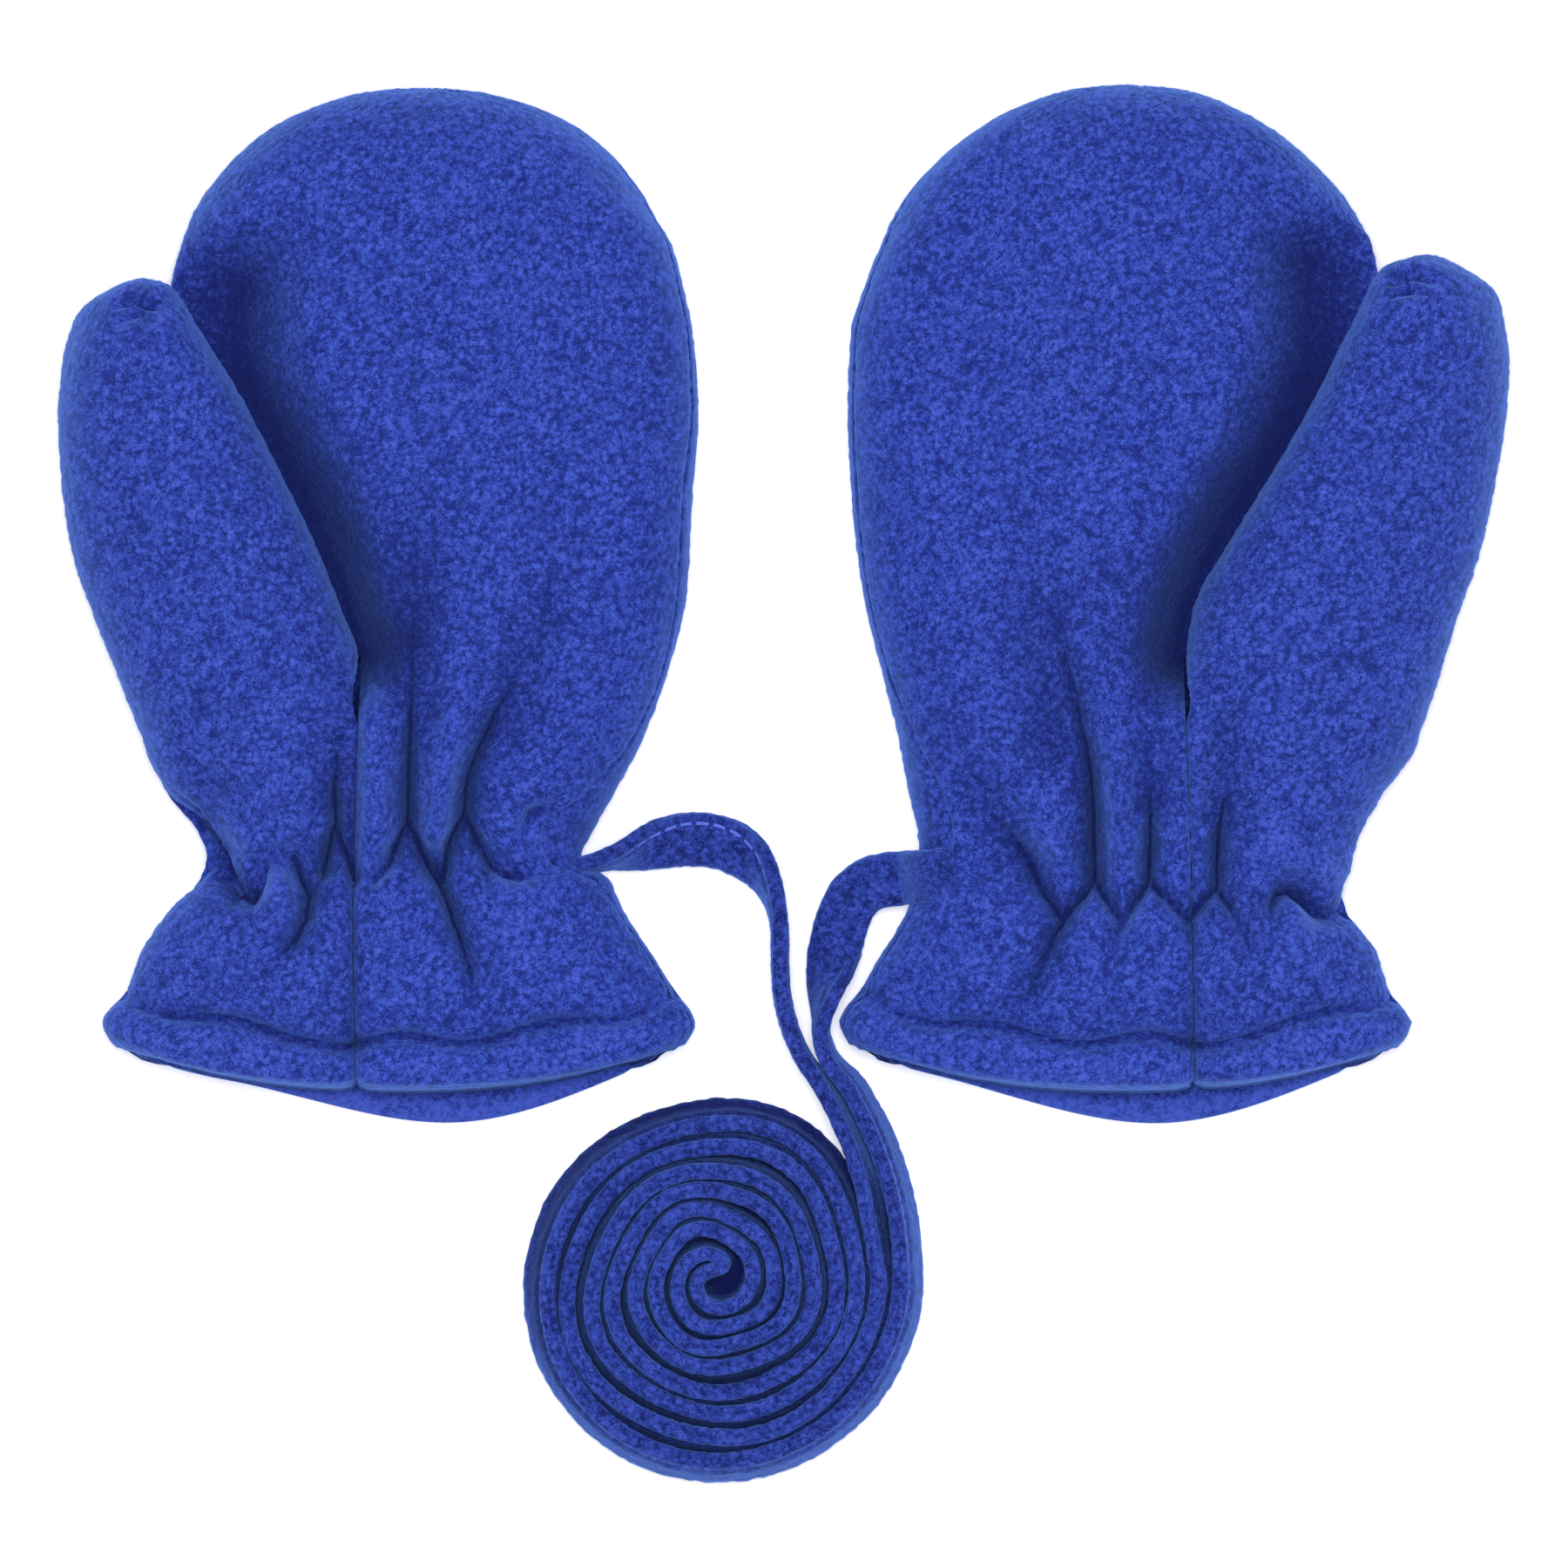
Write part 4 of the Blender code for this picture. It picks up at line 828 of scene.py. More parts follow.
def eased(path, share):
    """Round a path's corners off: points move to the middle of their neighbours, by a share."""
    moved = path.copy()
    for _ in range(EASINGS):
        middle = (moved[:-2] + moved[2:]) / 2.0
        moved[1:-1] += share[1:-1, None] * (middle - moved[1:-1])
    return moved


def settled(wide, thick, run, wound, core):
    """The wound strip's section: its upper edge sinks by a share that drifts, its foot spreads.

    The foot spreads more at the coil's core, where it closes the hole in the middle.
    """
    sunk = sum((drift.size * np.sin(run / drift.length + drift.start) for drift in SINK_DRIFTS),
               SINK_MIDDLE)
    kept = 1.0 - EDGE_DIP * sunk * wound
    foot = -STRING_WIDTH / 2.0
    more = (FOOT_SPREAD + CORE_SPREAD * core) * wound
    spread = 1.0 + more[:, None] * smoothstep(0.0, -foot, -wide)
    return foot + (wide - foot) * kept[:, None], thick * spread


print("the coil's core is", round(2.0 * CORE_REACH), "mm wide")

# %% [markdown]
# ## The strip along its route
#
# Sewing the strip to the wrists, winding it and laying it down is one long sweep here. At each
# ring of the route the section is turned by the strip's roll and set in its place. Each ring also
# knows how far down between two turns a point lies, for a painted shade down there and a painted
# light on the turns' upper edges.

# %% Carry the section along the route


def carry(route, wide, thick):
    """Carry a section along a route: wide is turned by the roll from the left of the heading."""
    middle = route[:, :3]
    heading = np.gradient(middle, axis=0)
    heading /= np.linalg.norm(heading, axis=1, keepdims=True)
    left = np.cross(np.array([0.0, 0.0, 1.0]), heading)
    left /= np.linalg.norm(left, axis=1, keepdims=True)
    up = np.cross(heading, left)
    roll = np.radians(route[:, 3])[:, None]
    across_strip = np.cos(roll) * left + np.sin(roll) * up
    through = np.cross(heading, across_strip)
    rings = middle[:, None] + across_strip[:, None] * wide[..., None]
    rings += through[:, None] * thick[..., None]
    outward = across_strip[:, None] * wide[..., None] / STRING_WIDTH
    outward = outward + through[:, None] * thick[..., None] / STRING_THICKNESS
    return rings, outward / np.linalg.norm(outward, axis=-1, keepdims=True)


def tube_faces(rings, points):
    """Quads round and along a tube, and one face over each of its ends."""
    grid = np.arange(rings * points).reshape(rings, points)
    beside = np.roll(grid, -1, axis=1)
    around = np.stack([grid[:-1], beside[:-1], beside[1:], grid[1:]], axis=-1).reshape(-1, 4)
    return [around, grid[:1, ::-1], grid[-1:]]


def string_uv(piece, lengths, used):
    """Give the strip a UV map: U is tenths of a metre along it, V goes once round it."""
    corners = np.empty(len(piece.data.loops), dtype=int)
    piece.data.loops.foreach_get("vertex_index", corners)
    ring, place = np.divmod(used[corners], RING_POINTS)
    layer = piece.data.uv_layers.new(name="strip")
    flat = np.stack([lengths[ring] / 100.0, place / RING_POINTS], axis=1)
    layer.data.foreach_set("uv", flat.astype(np.float32).ravel())


# Painted shade down in the coil's crevices, and painted light on its turns' tops:
CREVICE_DEPTH = 1.7         # millimetres below a turn's top at which it is darkest
CREVICE_CHANGE = 1.3        # and how much deeper that is where the turns are pressed together
CREVICE_POWER = 1.4
CREVICE_FADE = 4.0          # millimetres outside the coil over which the shade ends
PRESS_LENGTH = 17.0         # the pressing comes and goes by a radian in this many millimetres,
PRESS_SWAY = 2.0            # and sways by so many radians to and fro,
PRESS_DRIFT = 41.0          # which takes this many millimetres for a radian
PAINTED_TOP_LIGHT = 0.35            # how much lighter the turns' tops are, as a crease below nothing
TOP_FALL = 2.0              # that light ends this much sooner than the shade is full


def coil_painted_shade(rings, lengths):
    """Painted shade: each coil point's depth below its ring's top over a drifting depth."""
    sunk = rings[..., 2].max(axis=1, keepdims=True) - rings[..., 2]
    sway = PRESS_SWAY * np.sin(lengths / PRESS_DRIFT)
    pressed_in = 0.5 + 0.5 * np.sin(lengths / PRESS_LENGTH + sway)[:, None]
    sunk = sunk / (CREVICE_DEPTH + CREVICE_CHANGE * pressed_in)
    # painted light on the turns' tops, ending some way down
    painted_light = PAINTED_TOP_LIGHT * np.clip(1.0 - TOP_FALL * sunk, 0.0, 1.0)
    inside = 1.0 - smoothstep(COIL_OUTER, COIL_OUTER + CREVICE_FADE, from_coil(rings))
    return (np.clip(sunk, 0.0, 1.0) ** CREVICE_POWER - painted_light) * inside


print("the coil is darkest", CREVICE_DEPTH, "to", CREVICE_DEPTH + CREVICE_CHANGE, "mm down")

# %% [markdown]
# ## The finished string
#
# Both ends of the real string vanish into the wrists. The solids stop short there, because they
# may not touch, so the cloth goes on by itself: on the left between the two panels, and on the
# right over the wrist's edge, where it grows thinner as it is sewn down.

# %% Make the string
RING_STEP = 0.8             # millimetres between the strip's rings
WOUND_FADE = 3.0            # the strip stops being wound within this much of the coil's rim
EASED_FULL = 6.0            # the route is fully rounded off within this radius of the centre,
EASED_END = 10.0            # and not at all beyond this one
STRING_NAP_MIDDLE = 0.6     # nap of this height leaves the string where it is
# The columns are X, Y, the height of the strip's middle, its roll and its thickness.
LEFT_SEWN = np.array([[-34.8, -43.6, 5.6, 90.0, 2.6]])
RIGHT_SEWN = np.array([[22.7, -45.5, 9.2, 180.0, 2.9], [25.3, -45.3, 11.7, 180.0, 2.6],
                       [28.4, -45.1, 11.8, 180.0, 1.4]])

ring_count = int(run_of(string_route[:, :3])[-1] / RING_STEP) + 1
whole = np.column_stack((string_route, string_thickness))
fine = path_through(np.concatenate((LEFT_SEWN, whole, RIGHT_SEWN)), ring_count)
lengths = run_of(fine[:, :3])
reach = from_coil(fine)
wound = 1.0 - smoothstep(COIL_OUTER - WOUND_FADE, COIL_OUTER + WOUND_FADE, reach)
core = 1.0 - smoothstep(0.0, CORE_REACH, reach)
wide, thick = settled(*strip_section(fine[:, 4]), lengths, wound, core)
fine = eased(wandering(fine, wound), 1.0 - smoothstep(EASED_FULL, EASED_END, reach))
rings, outward = carry(fine[:, :4], wide, thick)
rings[..., 2] = np.maximum(rings[..., 2], 0.0)      # the spread foot is flat on the table
height = nap_height(rings)
painted_coil_shading = coil_painted_shade(rings, lengths)
rings = rings + outward * ((height - STRING_NAP_MIDDLE) * NAP_DEPTH)[..., None]
string, used = make_piece("string", rings.reshape(-1, 3), tube_faces(ring_count, RING_POINTS),
                          fleeces["string_fleece"])
add_values(string, "nap", height.ravel()[used])
# the coil's painted shade and light, stored as its crease value
add_values(string, "crease", painted_coil_shading.ravel()[used])
string_uv(string, lengths, used)

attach(string, "root")
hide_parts("string_left", "string_coil", "string_right")
print("the string is", round(lengths[-1]), "mm long, with", ring_count, "rings")

# %% [markdown]
# ## The mittens' measures
#
# Each mitten is measured like a pattern: rows across the hand, counted along it from the cuff to
# the fingertips, each with its two side seams and its height. They are the solids' own rows, so
# the cloth fits them without a shift. The measure out is nought on the hand's middle line and
# positive towards the thumb, which lets one set of functions make both hands.

# %% Rows of the hands
HandRow = namedtuple("HandRow", "along bow string_edge thumb_edge crown dome wrap")

LEFT_HAND = named_rows(HandRow, [
    (-81.5, 6.4, -38.9, 49.8, 6.2, 0.8, 0.6),
    (-81.0, 7.0, -41.2, 52.1, 6.7, 0.8, 0.6),
    (-79.8, 7.9, -43.1, 54.0, 7.3, 0.9, 0.6),
    (-78.0, 8.3, -43.8, 54.7, 7.9, 1.0, 0.6),
    (-75.8, 8.3, -42.9, 53.6, 8.1, 1.0, 0.6),
    (-72.7, 8.0, -40.8, 51.0, 8.4, 1.2, 0.6),
    (-64.0, 6.5, -36.1, 48.0, 9.8, 2.2, 0.6),
    (-55.0, 4.5, -31.6, 43.2, 10.0, 2.5, 0.8),
    (-48.0, 2.0, -29.6, 38.8, 9.2, 2.0, 2.0),
    (-42.0, 0.0, -24.9, 37.5, 8.2, 1.2, 6.0),
    (-37.0, -1.0, -26.7, 38.9, 9.0, 1.8, 8.0),
    (-30.0, -2.0, -30.1, 43.7, 10.5, 3.2, 4.4),
    (-20.0, -2.5, -35.1, 48.0, 11.6, 4.0, 1.5),
    (-9.0, -2.5, -39.2, 49.2, 12.0, 4.2, 0.8),
    (5.0, -2.5, -42.5, 47.6, 12.0, 4.2, 1.5),
    (20.0, -3.0, -43.3, 45.8, 12.0, 4.2, 1.5),
    (35.0, -4.0, -44.3, 44.8, 12.0, 4.2, 1.0),
    (50.0, -6.0, -43.5, 44.1, 12.0, 4.2, 0.8),
    (62.0, -9.0, -41.7, 43.2, 12.0, 4.2, 0.8),
    (71.0, -12.0, -40.1, 41.7, 12.0, 4.2, 0.8),
    (78.0, -14.0, -37.3, 39.9, 12.0, 4.2, 0.8),
    (82.5, -12.0, -33.3, 35.7, 12.0, 4.2, 0.8),
    (85.0, -7.0, -25.9, 28.0, 12.0, 4.2, 0.8),
    (85.6, -3.0, -16.1, 19.0, 12.0, 4.2, 0.8),
])

RIGHT_HAND = named_rows(HandRow, [
    (-81.5, 6.4, -40.7, 44.6, 6.2, 0.8, 0.6),
    (-81.0, 7.0, -42.9, 46.9, 6.7, 0.8, 0.6),
    (-79.8, 7.9, -44.8, 48.8, 7.3, 0.9, 0.6),
    (-78.0, 8.3, -45.5, 49.5, 7.9, 1.0, 0.6),
    (-75.8, 8.3, -44.6, 48.4, 8.1, 1.0, 0.6),
    (-72.7, 8.0, -42.4, 46.1, 8.4, 1.2, 0.6),
    (-64.0, 6.5, -38.0, 43.5, 9.8, 2.2, 0.6),
    (-55.0, 4.5, -34.0, 38.6, 10.0, 2.5, 0.8),
    (-49.0, 2.5, -32.6, 37.6, 9.2, 2.0, 2.0),
    (-43.5, 0.0, -32.0, 39.2, 8.2, 1.2, 4.5),
    (-37.0, -1.0, -32.5, 41.2, 9.2, 2.0, 5.5),
    (-30.0, -2.0, -33.9, 44.6, 10.5, 3.2, 5.0),
    (-20.0, -2.5, -35.7, 50.7, 11.6, 4.0, 2.6),
    (-9.0, -2.5, -38.4, 51.2, 12.0, 4.2, 1.0),
    (5.0, -2.5, -41.7, 48.7, 12.0, 4.2, 0.8),
    (20.0, -3.0, -43.4, 46.4, 12.0, 4.2, 0.8),
    (35.0, -4.0, -44.1, 45.0, 12.0, 4.2, 0.8),
    (50.0, -6.0, -43.7, 44.5, 12.0, 4.2, 0.8),
    (62.0, -9.0, -41.2, 44.0, 12.0, 4.2, 0.8),
    (71.0, -12.0, -38.8, 43.1, 12.0, 4.2, 0.8),
    (78.0, -14.0, -36.6, 40.6, 12.0, 4.2, 0.8),
    (82.5, -12.0, -32.1, 35.8, 12.0, 4.2, 0.8),
    (85.2, -7.0, -23.3, 27.2, 12.0, 4.2, 0.8),
    (86.1, -3.0, -14.1, 18.5, 12.0, 4.2, 0.8),
])
print("the hands have", len(LEFT_HAND), "and", len(RIGHT_HAND), "rows")

# %% [markdown]
# ## The thumbs' measures
#
# A thumb is measured the same way, from its root to its tip, with an inner edge on the palm and
# an outer one beside the hand. The guide is the line on the palm where the middle seam lies, and
# above the crotch the thumb's inner edge. It goes on round the fingertips, so that the hollow
# beside the thumb has a line to be measured from.

# %% Rows of the thumbs and the guide lines
ThumbRow = namedtuple("ThumbRow", "along bow tilt inner outer base")

LEFT_THUMB = named_rows(ThumbRow, [
    (-20.6, -0.6, -1.2, 11.9, 48.0, 5.0),
    (-9.7, -0.6, -1.2, 11.9, 52.4, 5.0),
    (-1.5, -0.8, -1.5, 14.8, 55.5, 4.2),
    (10.5, -0.8, -1.5, 19.7, 59.7, 3.2),
    (22.5, -0.8, -1.5, 25.6, 61.6, 2.4),
    (33.0, -1.0, -1.5, 30.9, 62.2, 2.0),
    (41.5, -1.5, -1.5, 35.8, 61.6, 2.0),
    (47.5, -2.0, -1.5, 39.2, 60.5, 2.2),
    (51.5, -2.2, -1.3, 41.4, 58.9, 2.6),
    (53.2, -1.8, -1.0, 42.7, 56.5, 3.2),
    (53.9, -1.2, -0.8, 44.8, 53.5, 3.8),
])

RIGHT_THUMB = named_rows(ThumbRow, [
    (-20.6, -0.6, -1.2, 11.8, 50.7, 5.0),
    (-9.7, -0.6, -1.2, 11.8, 54.4, 5.0),
    (-1.5, -0.8, -1.5, 13.1, 56.7, 4.2),
    (10.5, -0.8, -1.5, 19.6, 60.9, 3.2),
    (22.5, -0.8, -1.5, 27.0, 63.6, 2.4),
    (33.0, -1.0, -1.5, 32.9, 65.3, 2.0),
    (43.0, -1.5, -1.5, 37.6, 65.9, 2.0),
    (50.5, -2.0, -1.5, 41.1, 65.0, 2.2),
    (55.0, -2.2, -1.3, 43.1, 63.8, 2.6),
    (57.0, -1.8, -1.0, 45.2, 60.7, 3.2),
    (57.8, -1.2, -0.8, 48.7, 57.7, 3.8),
])

GuideRow = namedtuple("GuideRow", "along out")

LEFT_GUIDE = named_rows(GuideRow, [
    (-81.5, 12.4), (-50.0, 12.9), (-9.0, 11.7), (0.0, 14.7), (10.0, 18.9), (20.0, 23.7),
    (30.0, 28.8), (46.0, 34.0), (62.0, 33.0), (78.0, 26.0), (86.5, 8.0),
])

RIGHT_GUIDE = named_rows(GuideRow, [
    (-81.5, 13.4), (-50.0, 12.9), (-9.0, 11.6), (0.0, 13.3), (10.0, 18.4), (20.0, 24.4),
    (30.0, 30.6), (48.0, 35.5), (62.0, 34.0), (78.0, 26.0), (86.5, 8.0),
])
print("each thumb has", len(LEFT_THUMB), "rows and each guide", len(LEFT_GUIDE))

# %% [markdown]
# ## The gathers and creases
#
# The elastic draws the cloth into gathers at the wrist, which fade out over the palm and the
# cuff. A cloth simulation would put them where it likes. These lie where the photograph shows
# them, so each is a short line in a table: a trough, or a plump ridge where its depth is
# negative. The largest follow the solids' own gathers, and the rest are finer creases that only
# the cloth has.

# %% Where the cloth is gathered
# A crease is a line of places, each with its depth there. width is how fast it fades to each side,
# and point gives it a round bottom where it is 2, or a sharper one.
Place = namedtuple("Place", "out along depth")
Crease = namedtuple("Crease", "width point line")


def gather(width, point, *places):
    """One crease, from its places' measures out, along and down."""
    return Crease(width, point, named_rows(Place, places))


LEFT_CREASES = [
    gather(1.7, 1.1, (15.4, -18.0, 0.0), (15.6, -27.0, 3.6), (16.1, -32.5, 5.2),
           (15.8, -38.2, 6.2), (17.9, -43.4, 6.0), (18.4, -46.0, 2.0)),
    gather(1.1, 1.2, (15.6, -39.0, 5.0), (13.9, -42.2, 4.2), (12.6, -44.8, 3.4)),
    gather(1.9, 1.1, (2.6, 14.0, 0.0), (2.6, -1.0, 2.2), (3.0, -15.5, 4.2), (3.5, -27.0, 5.8),
           (3.8, -37.8, 6.6)),
    gather(1.3, 1.2, (3.8, -37.8, 6.2), (6.6, -42.2, 5.2), (9.2, -45.6, 3.2)),
    gather(1.5, 1.1, (3.8, -37.8, 6.0), (1.5, -41.6, 5.6), (-1.7, -45.2, 6.4), (-2.8, -48.4, 6.4),
           (-4.4, -53.4, 5.6), (-6.5, -60.6, 3.8), (-8.0, -68.5, 0.0)),
    gather(2.0, 1.1, (-21.0, 4.0, 0.0), (-16.5, -10.0, 2.6), (-11.4, -18.0, 4.4),
           (-8.6, -24.0, 5.4), (-6.3, -30.4, 6.2), (-5.7, -36.6, 6.6)),
    gather(1.4, 1.2, (-5.7, -36.6, 6.2), (-3.2, -40.4, 5.8), (-1.7, -45.2, 6.2)),
    gather(1.4, 1.2, (-5.7, -36.6, 5.8), (-7.9, -40.4, 4.8), (-10.2, -43.2, 4.2),
           (-13.8, -44.8, 4.0), (-17.4, -44.2, 2.2), (-21.0, -43.2, 0.0)),
    gather(1.5, 1.2, (-21.0, -33.4, 0.6), (-17.0, -35.6, 3.2), (-14.6, -39.4, 2.0),
           (-14.2, -42.0, 0.0)),
    gather(1.2, 1.2, (-9.2, -44.2, 2.6), (-10.2, -48.4, 0.4)),
    gather(1.6, 1.1, (26.8, -40.6, 3.0), (22.8, -42.2, 4.4), (20.3, -47.2, 6.0),
           (20.9, -51.8, 5.6), (22.7, -56.3, 4.4), (28.0, -61.0, 0.0)),
    gather(1.8, 1.1, (43.0, -31.0, 0.5), (38.6, -37.4, 3.0), (35.0, -44.4, 5.4),
           (32.6, -47.4, 6.0), (30.4, -48.2, 5.4), (28.3, -45.8, 4.4), (26.8, -40.8, 3.0)),
    gather(3.4, 2.0, (38.0, -32.0, 0.0), (33.0, -38.0, -1.9), (27.0, -41.0, -2.4),
           (23.6, -38.0, -0.7)),
    gather(2.6, 2.0, (27.5, -43.0, -1.2), (25.6, -47.0, -2.6), (24.8, -53.0, -1.2),
           (26.0, -60.0, 0.0)),
    gather(3.0, 2.0, (9.4, 6.0, 0.0), (9.4, -12.0, -1.2), (9.4, -28.0, -2.0), (8.8, -42.0, -1.4)),
    gather(2.3, 2.0, (-5.5, -8.0, 0.0), (-2.8, -26.0, -1.8), (-0.8, -39.0, -2.0)),
    gather(3.0, 2.0, (-13.0, -37.0, -1.1), (-17.0, -41.4, -2.0), (-20.5, -42.6, 0.0)),
    gather(3.0, 2.0, (8.0, -46.5, -1.4), (6.0, -56.0, -0.7), (5.0, -66.0, 0.0)),
    gather(5.0, 2.0, (2.0, 24.0, 0.0), (1.8, 8.0, 1.6), (2.2, -20.0, 3.0)),
    gather(5.5, 2.0, (-24.0, 26.0, 0.0), (-20.0, 2.0, 1.5), (-12.0, -20.0, 3.0)),
    gather(4.0, 2.0, (15.0, 0.0, 0.0), (15.6, -24.0, 2.2), (16.6, -34.0, 2.8)),
    gather(4.5, 2.0, (38.0, -12.0, 0.0), (37.0, -28.0, 1.6), (35.0, -40.0, 2.4)),
    gather(5.0, 2.0, (-13.0, -50.0, -1.4), (-15.0, -58.0, -1.0), (-16.0, -67.0, 0.0)),
]

RIGHT_CREASES = [
    gather(2.2, 1.1, (-12.5, 14.0, 0.0), (-11.0, 0.0, 2.0), (-6.9, -15.5, 4.0), (-4.5, -26.0, 5.2),
           (-3.6, -33.6, 6.2), (-3.2, -44.5, 6.6)),
    gather(1.4, 1.2, (-8.4, -51.6, 4.8), (-3.2, -44.6, 5.6), (1.2, -52.6, 3.4), (5.8, -44.8, 5.0),
           (12.2, -52.0, 3.0), (17.2, -45.8, 4.8), (22.0, -55.2, 2.4), (24.2, -60.5, 0.0)),
    gather(1.7, 1.1, (-8.4, -51.6, 5.2), (-11.4, -58.4, 4.2), (-14.8, -67.0, 1.8),
           (-16.2, -71.0, 0.0)),
    gather(1.6, 1.1, (5.2, -22.0, 0.0), (5.9, -33.0, 3.8), (6.1, -39.0, 5.4), (5.8, -44.8, 5.8)),
    gather(1.7, 1.1, (18.6, -24.0, 0.0), (18.2, -34.0, 3.6), (17.4, -40.0, 5.2),
           (17.2, -46.0, 5.8)),
    gather(2.0, 1.1, (-24.4, -32.0, 0.3), (-19.2, -37.2, 3.2), (-13.6, -43.6, 4.8),
           (-9.6, -50.0, 5.4), (-8.4, -51.8, 5.2)),
    gather(1.6, 1.1, (25.8, -53.0, 1.0), (26.6, -49.6, 4.0), (28.0, -47.4, 5.6),
           (30.2, -47.0, 6.0), (32.7, -48.9, 5.6), (34.9, -51.0, 4.4), (37.4, -51.2, 3.0),
           (40.5, -50.0, 0.5)),
    gather(1.3, 1.2, (1.1, -53.0, 3.8), (-1.0, -62.0, 1.0), (-1.4, -66.0, 0.0)),
    gather(5.5, 2.0, (-16.0, 30.0, 0.0), (-14.6, 4.0, 1.6), (-10.0, -24.0, 3.0)),
    gather(4.5, 2.0, (4.0, 6.0, 0.0), (5.0, -20.0, 2.0), (6.0, -34.0, 2.8)),
    gather(4.5, 2.0, (20.0, -4.0, 0.0), (18.6, -24.0, 2.0), (18.0, -36.0, 2.8)),
    gather(4.5, 2.0, (-28.0, -14.0, 0.0), (-24.0, -30.0, 1.8), (-18.0, -40.0, 2.4)),
    gather(3.6, 2.0, (22.0, -39.0, -1.0), (28.0, -41.5, -2.4), (33.5, -44.0, -2.4),
           (39.0, -47.0, -0.4)),
    gather(2.6, 2.0, (0.0, -14.0, 0.0), (0.8, -30.0, -1.7), (1.0, -43.0, -1.9)),
    gather(3.0, 2.0, (11.6, -8.0, 0.0), (12.0, -28.0, -1.7), (12.2, -43.0, -1.7)),
    gather(2.3, 2.0, (-14.0, -32.0, -1.0), (-9.4, -41.0, -1.9), (-7.4, -45.0, -0.7)),
    gather(3.2, 2.0, (29.4, -50.6, -1.2), (29.4, -54.6, -1.9), (30.0, -61.0, 0.0)),
    gather(3.4, 2.0, (2.4, -56.0, -1.1), (1.0, -64.0, -0.5), (0.0, -70.0, 0.0)),
]

# The thumb's tip is drawn in where its seam ends.
LEFT_THUMB_CREASES = [
    gather(1.0, 1.2, (52.4, 49.2, 0.8), (49.4, 51.0, 3.4), (45.4, 49.6, 2.4)),
    gather(1.2, 1.3, (46.4, 44.6, 0.4), (48.0, 48.6, 2.6), (51.6, 47.0, 1.0)),
]
RIGHT_THUMB_CREASES = [
    gather(0.9, 1.2, (46.0, 53.4, 1.6), (49.4, 55.2, 3.3), (54.2, 53.2, 0.8)),
    gather(1.0, 1.3, (45.0, 50.6, 0.4), (48.6, 52.4, 2.6), (52.0, 51.2, 0.4)),
]

# middle is the X of a hand's middle line, side is -1 where the thumb points to -X, and drop_centre
# is where, across the hand, the back panel's hem shows most below the palm's.
Mitten = namedtuple("Mitten", ("name middle side drop_centre hand thumb guide creases"
                               " thumb_creases"))

MITTENS = [
    Mitten("left", -58.5, -1.0, -4.0, LEFT_HAND, LEFT_THUMB, LEFT_GUIDE, LEFT_CREASES,
           LEFT_THUMB_CREASES),
    Mitten("right", 54.8, 1.0, 8.0, RIGHT_HAND, RIGHT_THUMB, RIGHT_GUIDE, RIGHT_CREASES,
           RIGHT_THUMB_CREASES),
]
print("gathers and creases:", {mitten.name: len(mitten.creases) for mitten in MITTENS})

# %% [markdown]
# ## The form of a hand
#
# A mitten lying flat is two panels with side seams: the back lies on the table and the palm
# arches over it. A section across the palm is level in the middle and falls to each seam on a
# quarter of an ellipse, and the fingertips close the same way. The inner face of each wall is the
# same form, set in by the cloth's thickness.

# %% Sections of the hand
FLEECE = 2.0                # thickness of one layer of cloth
UNDER_FLEECE = 1.8          # and of the layer under the thumb
SEAM_HEIGHT = 5.0           # of the side seams over the table
BOTTOM_REACH = 6.0          # width of the underside's rounded border
TOP_REACH = 15.0            # and of the palm's, where the hand is wide,
TOP_REACH_SHARE = 0.75      # or this share of its half width where it is narrow
BORDER = 0.6                # the share of a section's points that lie on its level part
TIP_ROUND = 25.0            # length over which the palm falls to the fingertips
BACK_TIP_ROUND = 7.0        # and over which the back rises to them
HEM_START = -81.5
WIDEST_ROW = 5.0            # the table's row at which the hands are widest


def tip_share(along, end, length):
    """How far a row is into the rounding at a form's end, from 0 to 1."""
    return np.clip((along - (end - length)) / length, 0.0, 1.0)


def tip_lift(along, end, length):
    """The share of its full height that a form has near its rounded end: an ellipse's quarter."""
    share = tip_share(along, end, length)
    return np.sqrt(1.0 - share * share)


def across(share, half, reach):
    """Place and lift of a section at a share of the way from its middle (0) to its edge (1 or -1).

    The middle part is level, and the border is an ellipse's quarter that is as wide as reach.
    """
    level = np.minimum(np.abs(share) / BORDER, 1.0) * (half - reach)
    angle = np.clip((np.abs(share) - BORDER) / (1.0 - BORDER), 0.0, 1.0) * math.pi / 2.0
    return np.sign(share) * (level + reach * np.sin(angle)), np.cos(angle)


def share_across(offset, half, reach):
    """The share at which a section passes a place: the inverse of across."""
    size = np.abs(offset)
    level = np.minimum(size / (half - reach), 1.0) * BORDER
    angle = np.arcsin(np.clip((size - (half - reach)) / reach, 0.0, 1.0))
    return np.sign(offset) * (level + (1.0 - BORDER) * angle / (math.pi / 2.0))


def arch(turn):
    """How a row bends from its middle (0) to its ends (1): little at first and then more."""
    return turn * turn * (1.0 + np.abs(turn)) / 2.0


def hand_section(mitten, along):
    """Middle and half width of the hand's sections, and the width of the palm's rounded border."""
    string_edge = column(mitten.hand, "string_edge", along)
    thumb_edge = column(mitten.hand, "thumb_edge", along)
    half = (thumb_edge - string_edge) / 2.0
    return (thumb_edge + string_edge) / 2.0, half, np.minimum(TOP_REACH, TOP_REACH_SHARE * half)


def hand_place(mitten, along, turn, inset, length):
    """Where a row lies along the hand: bowed across it, and set in where its end is rounded."""
    place = along + column(mitten.hand, "bow", along) * arch(turn)
    return place - inset * tip_share(along, mitten.hand[-1].along, length)


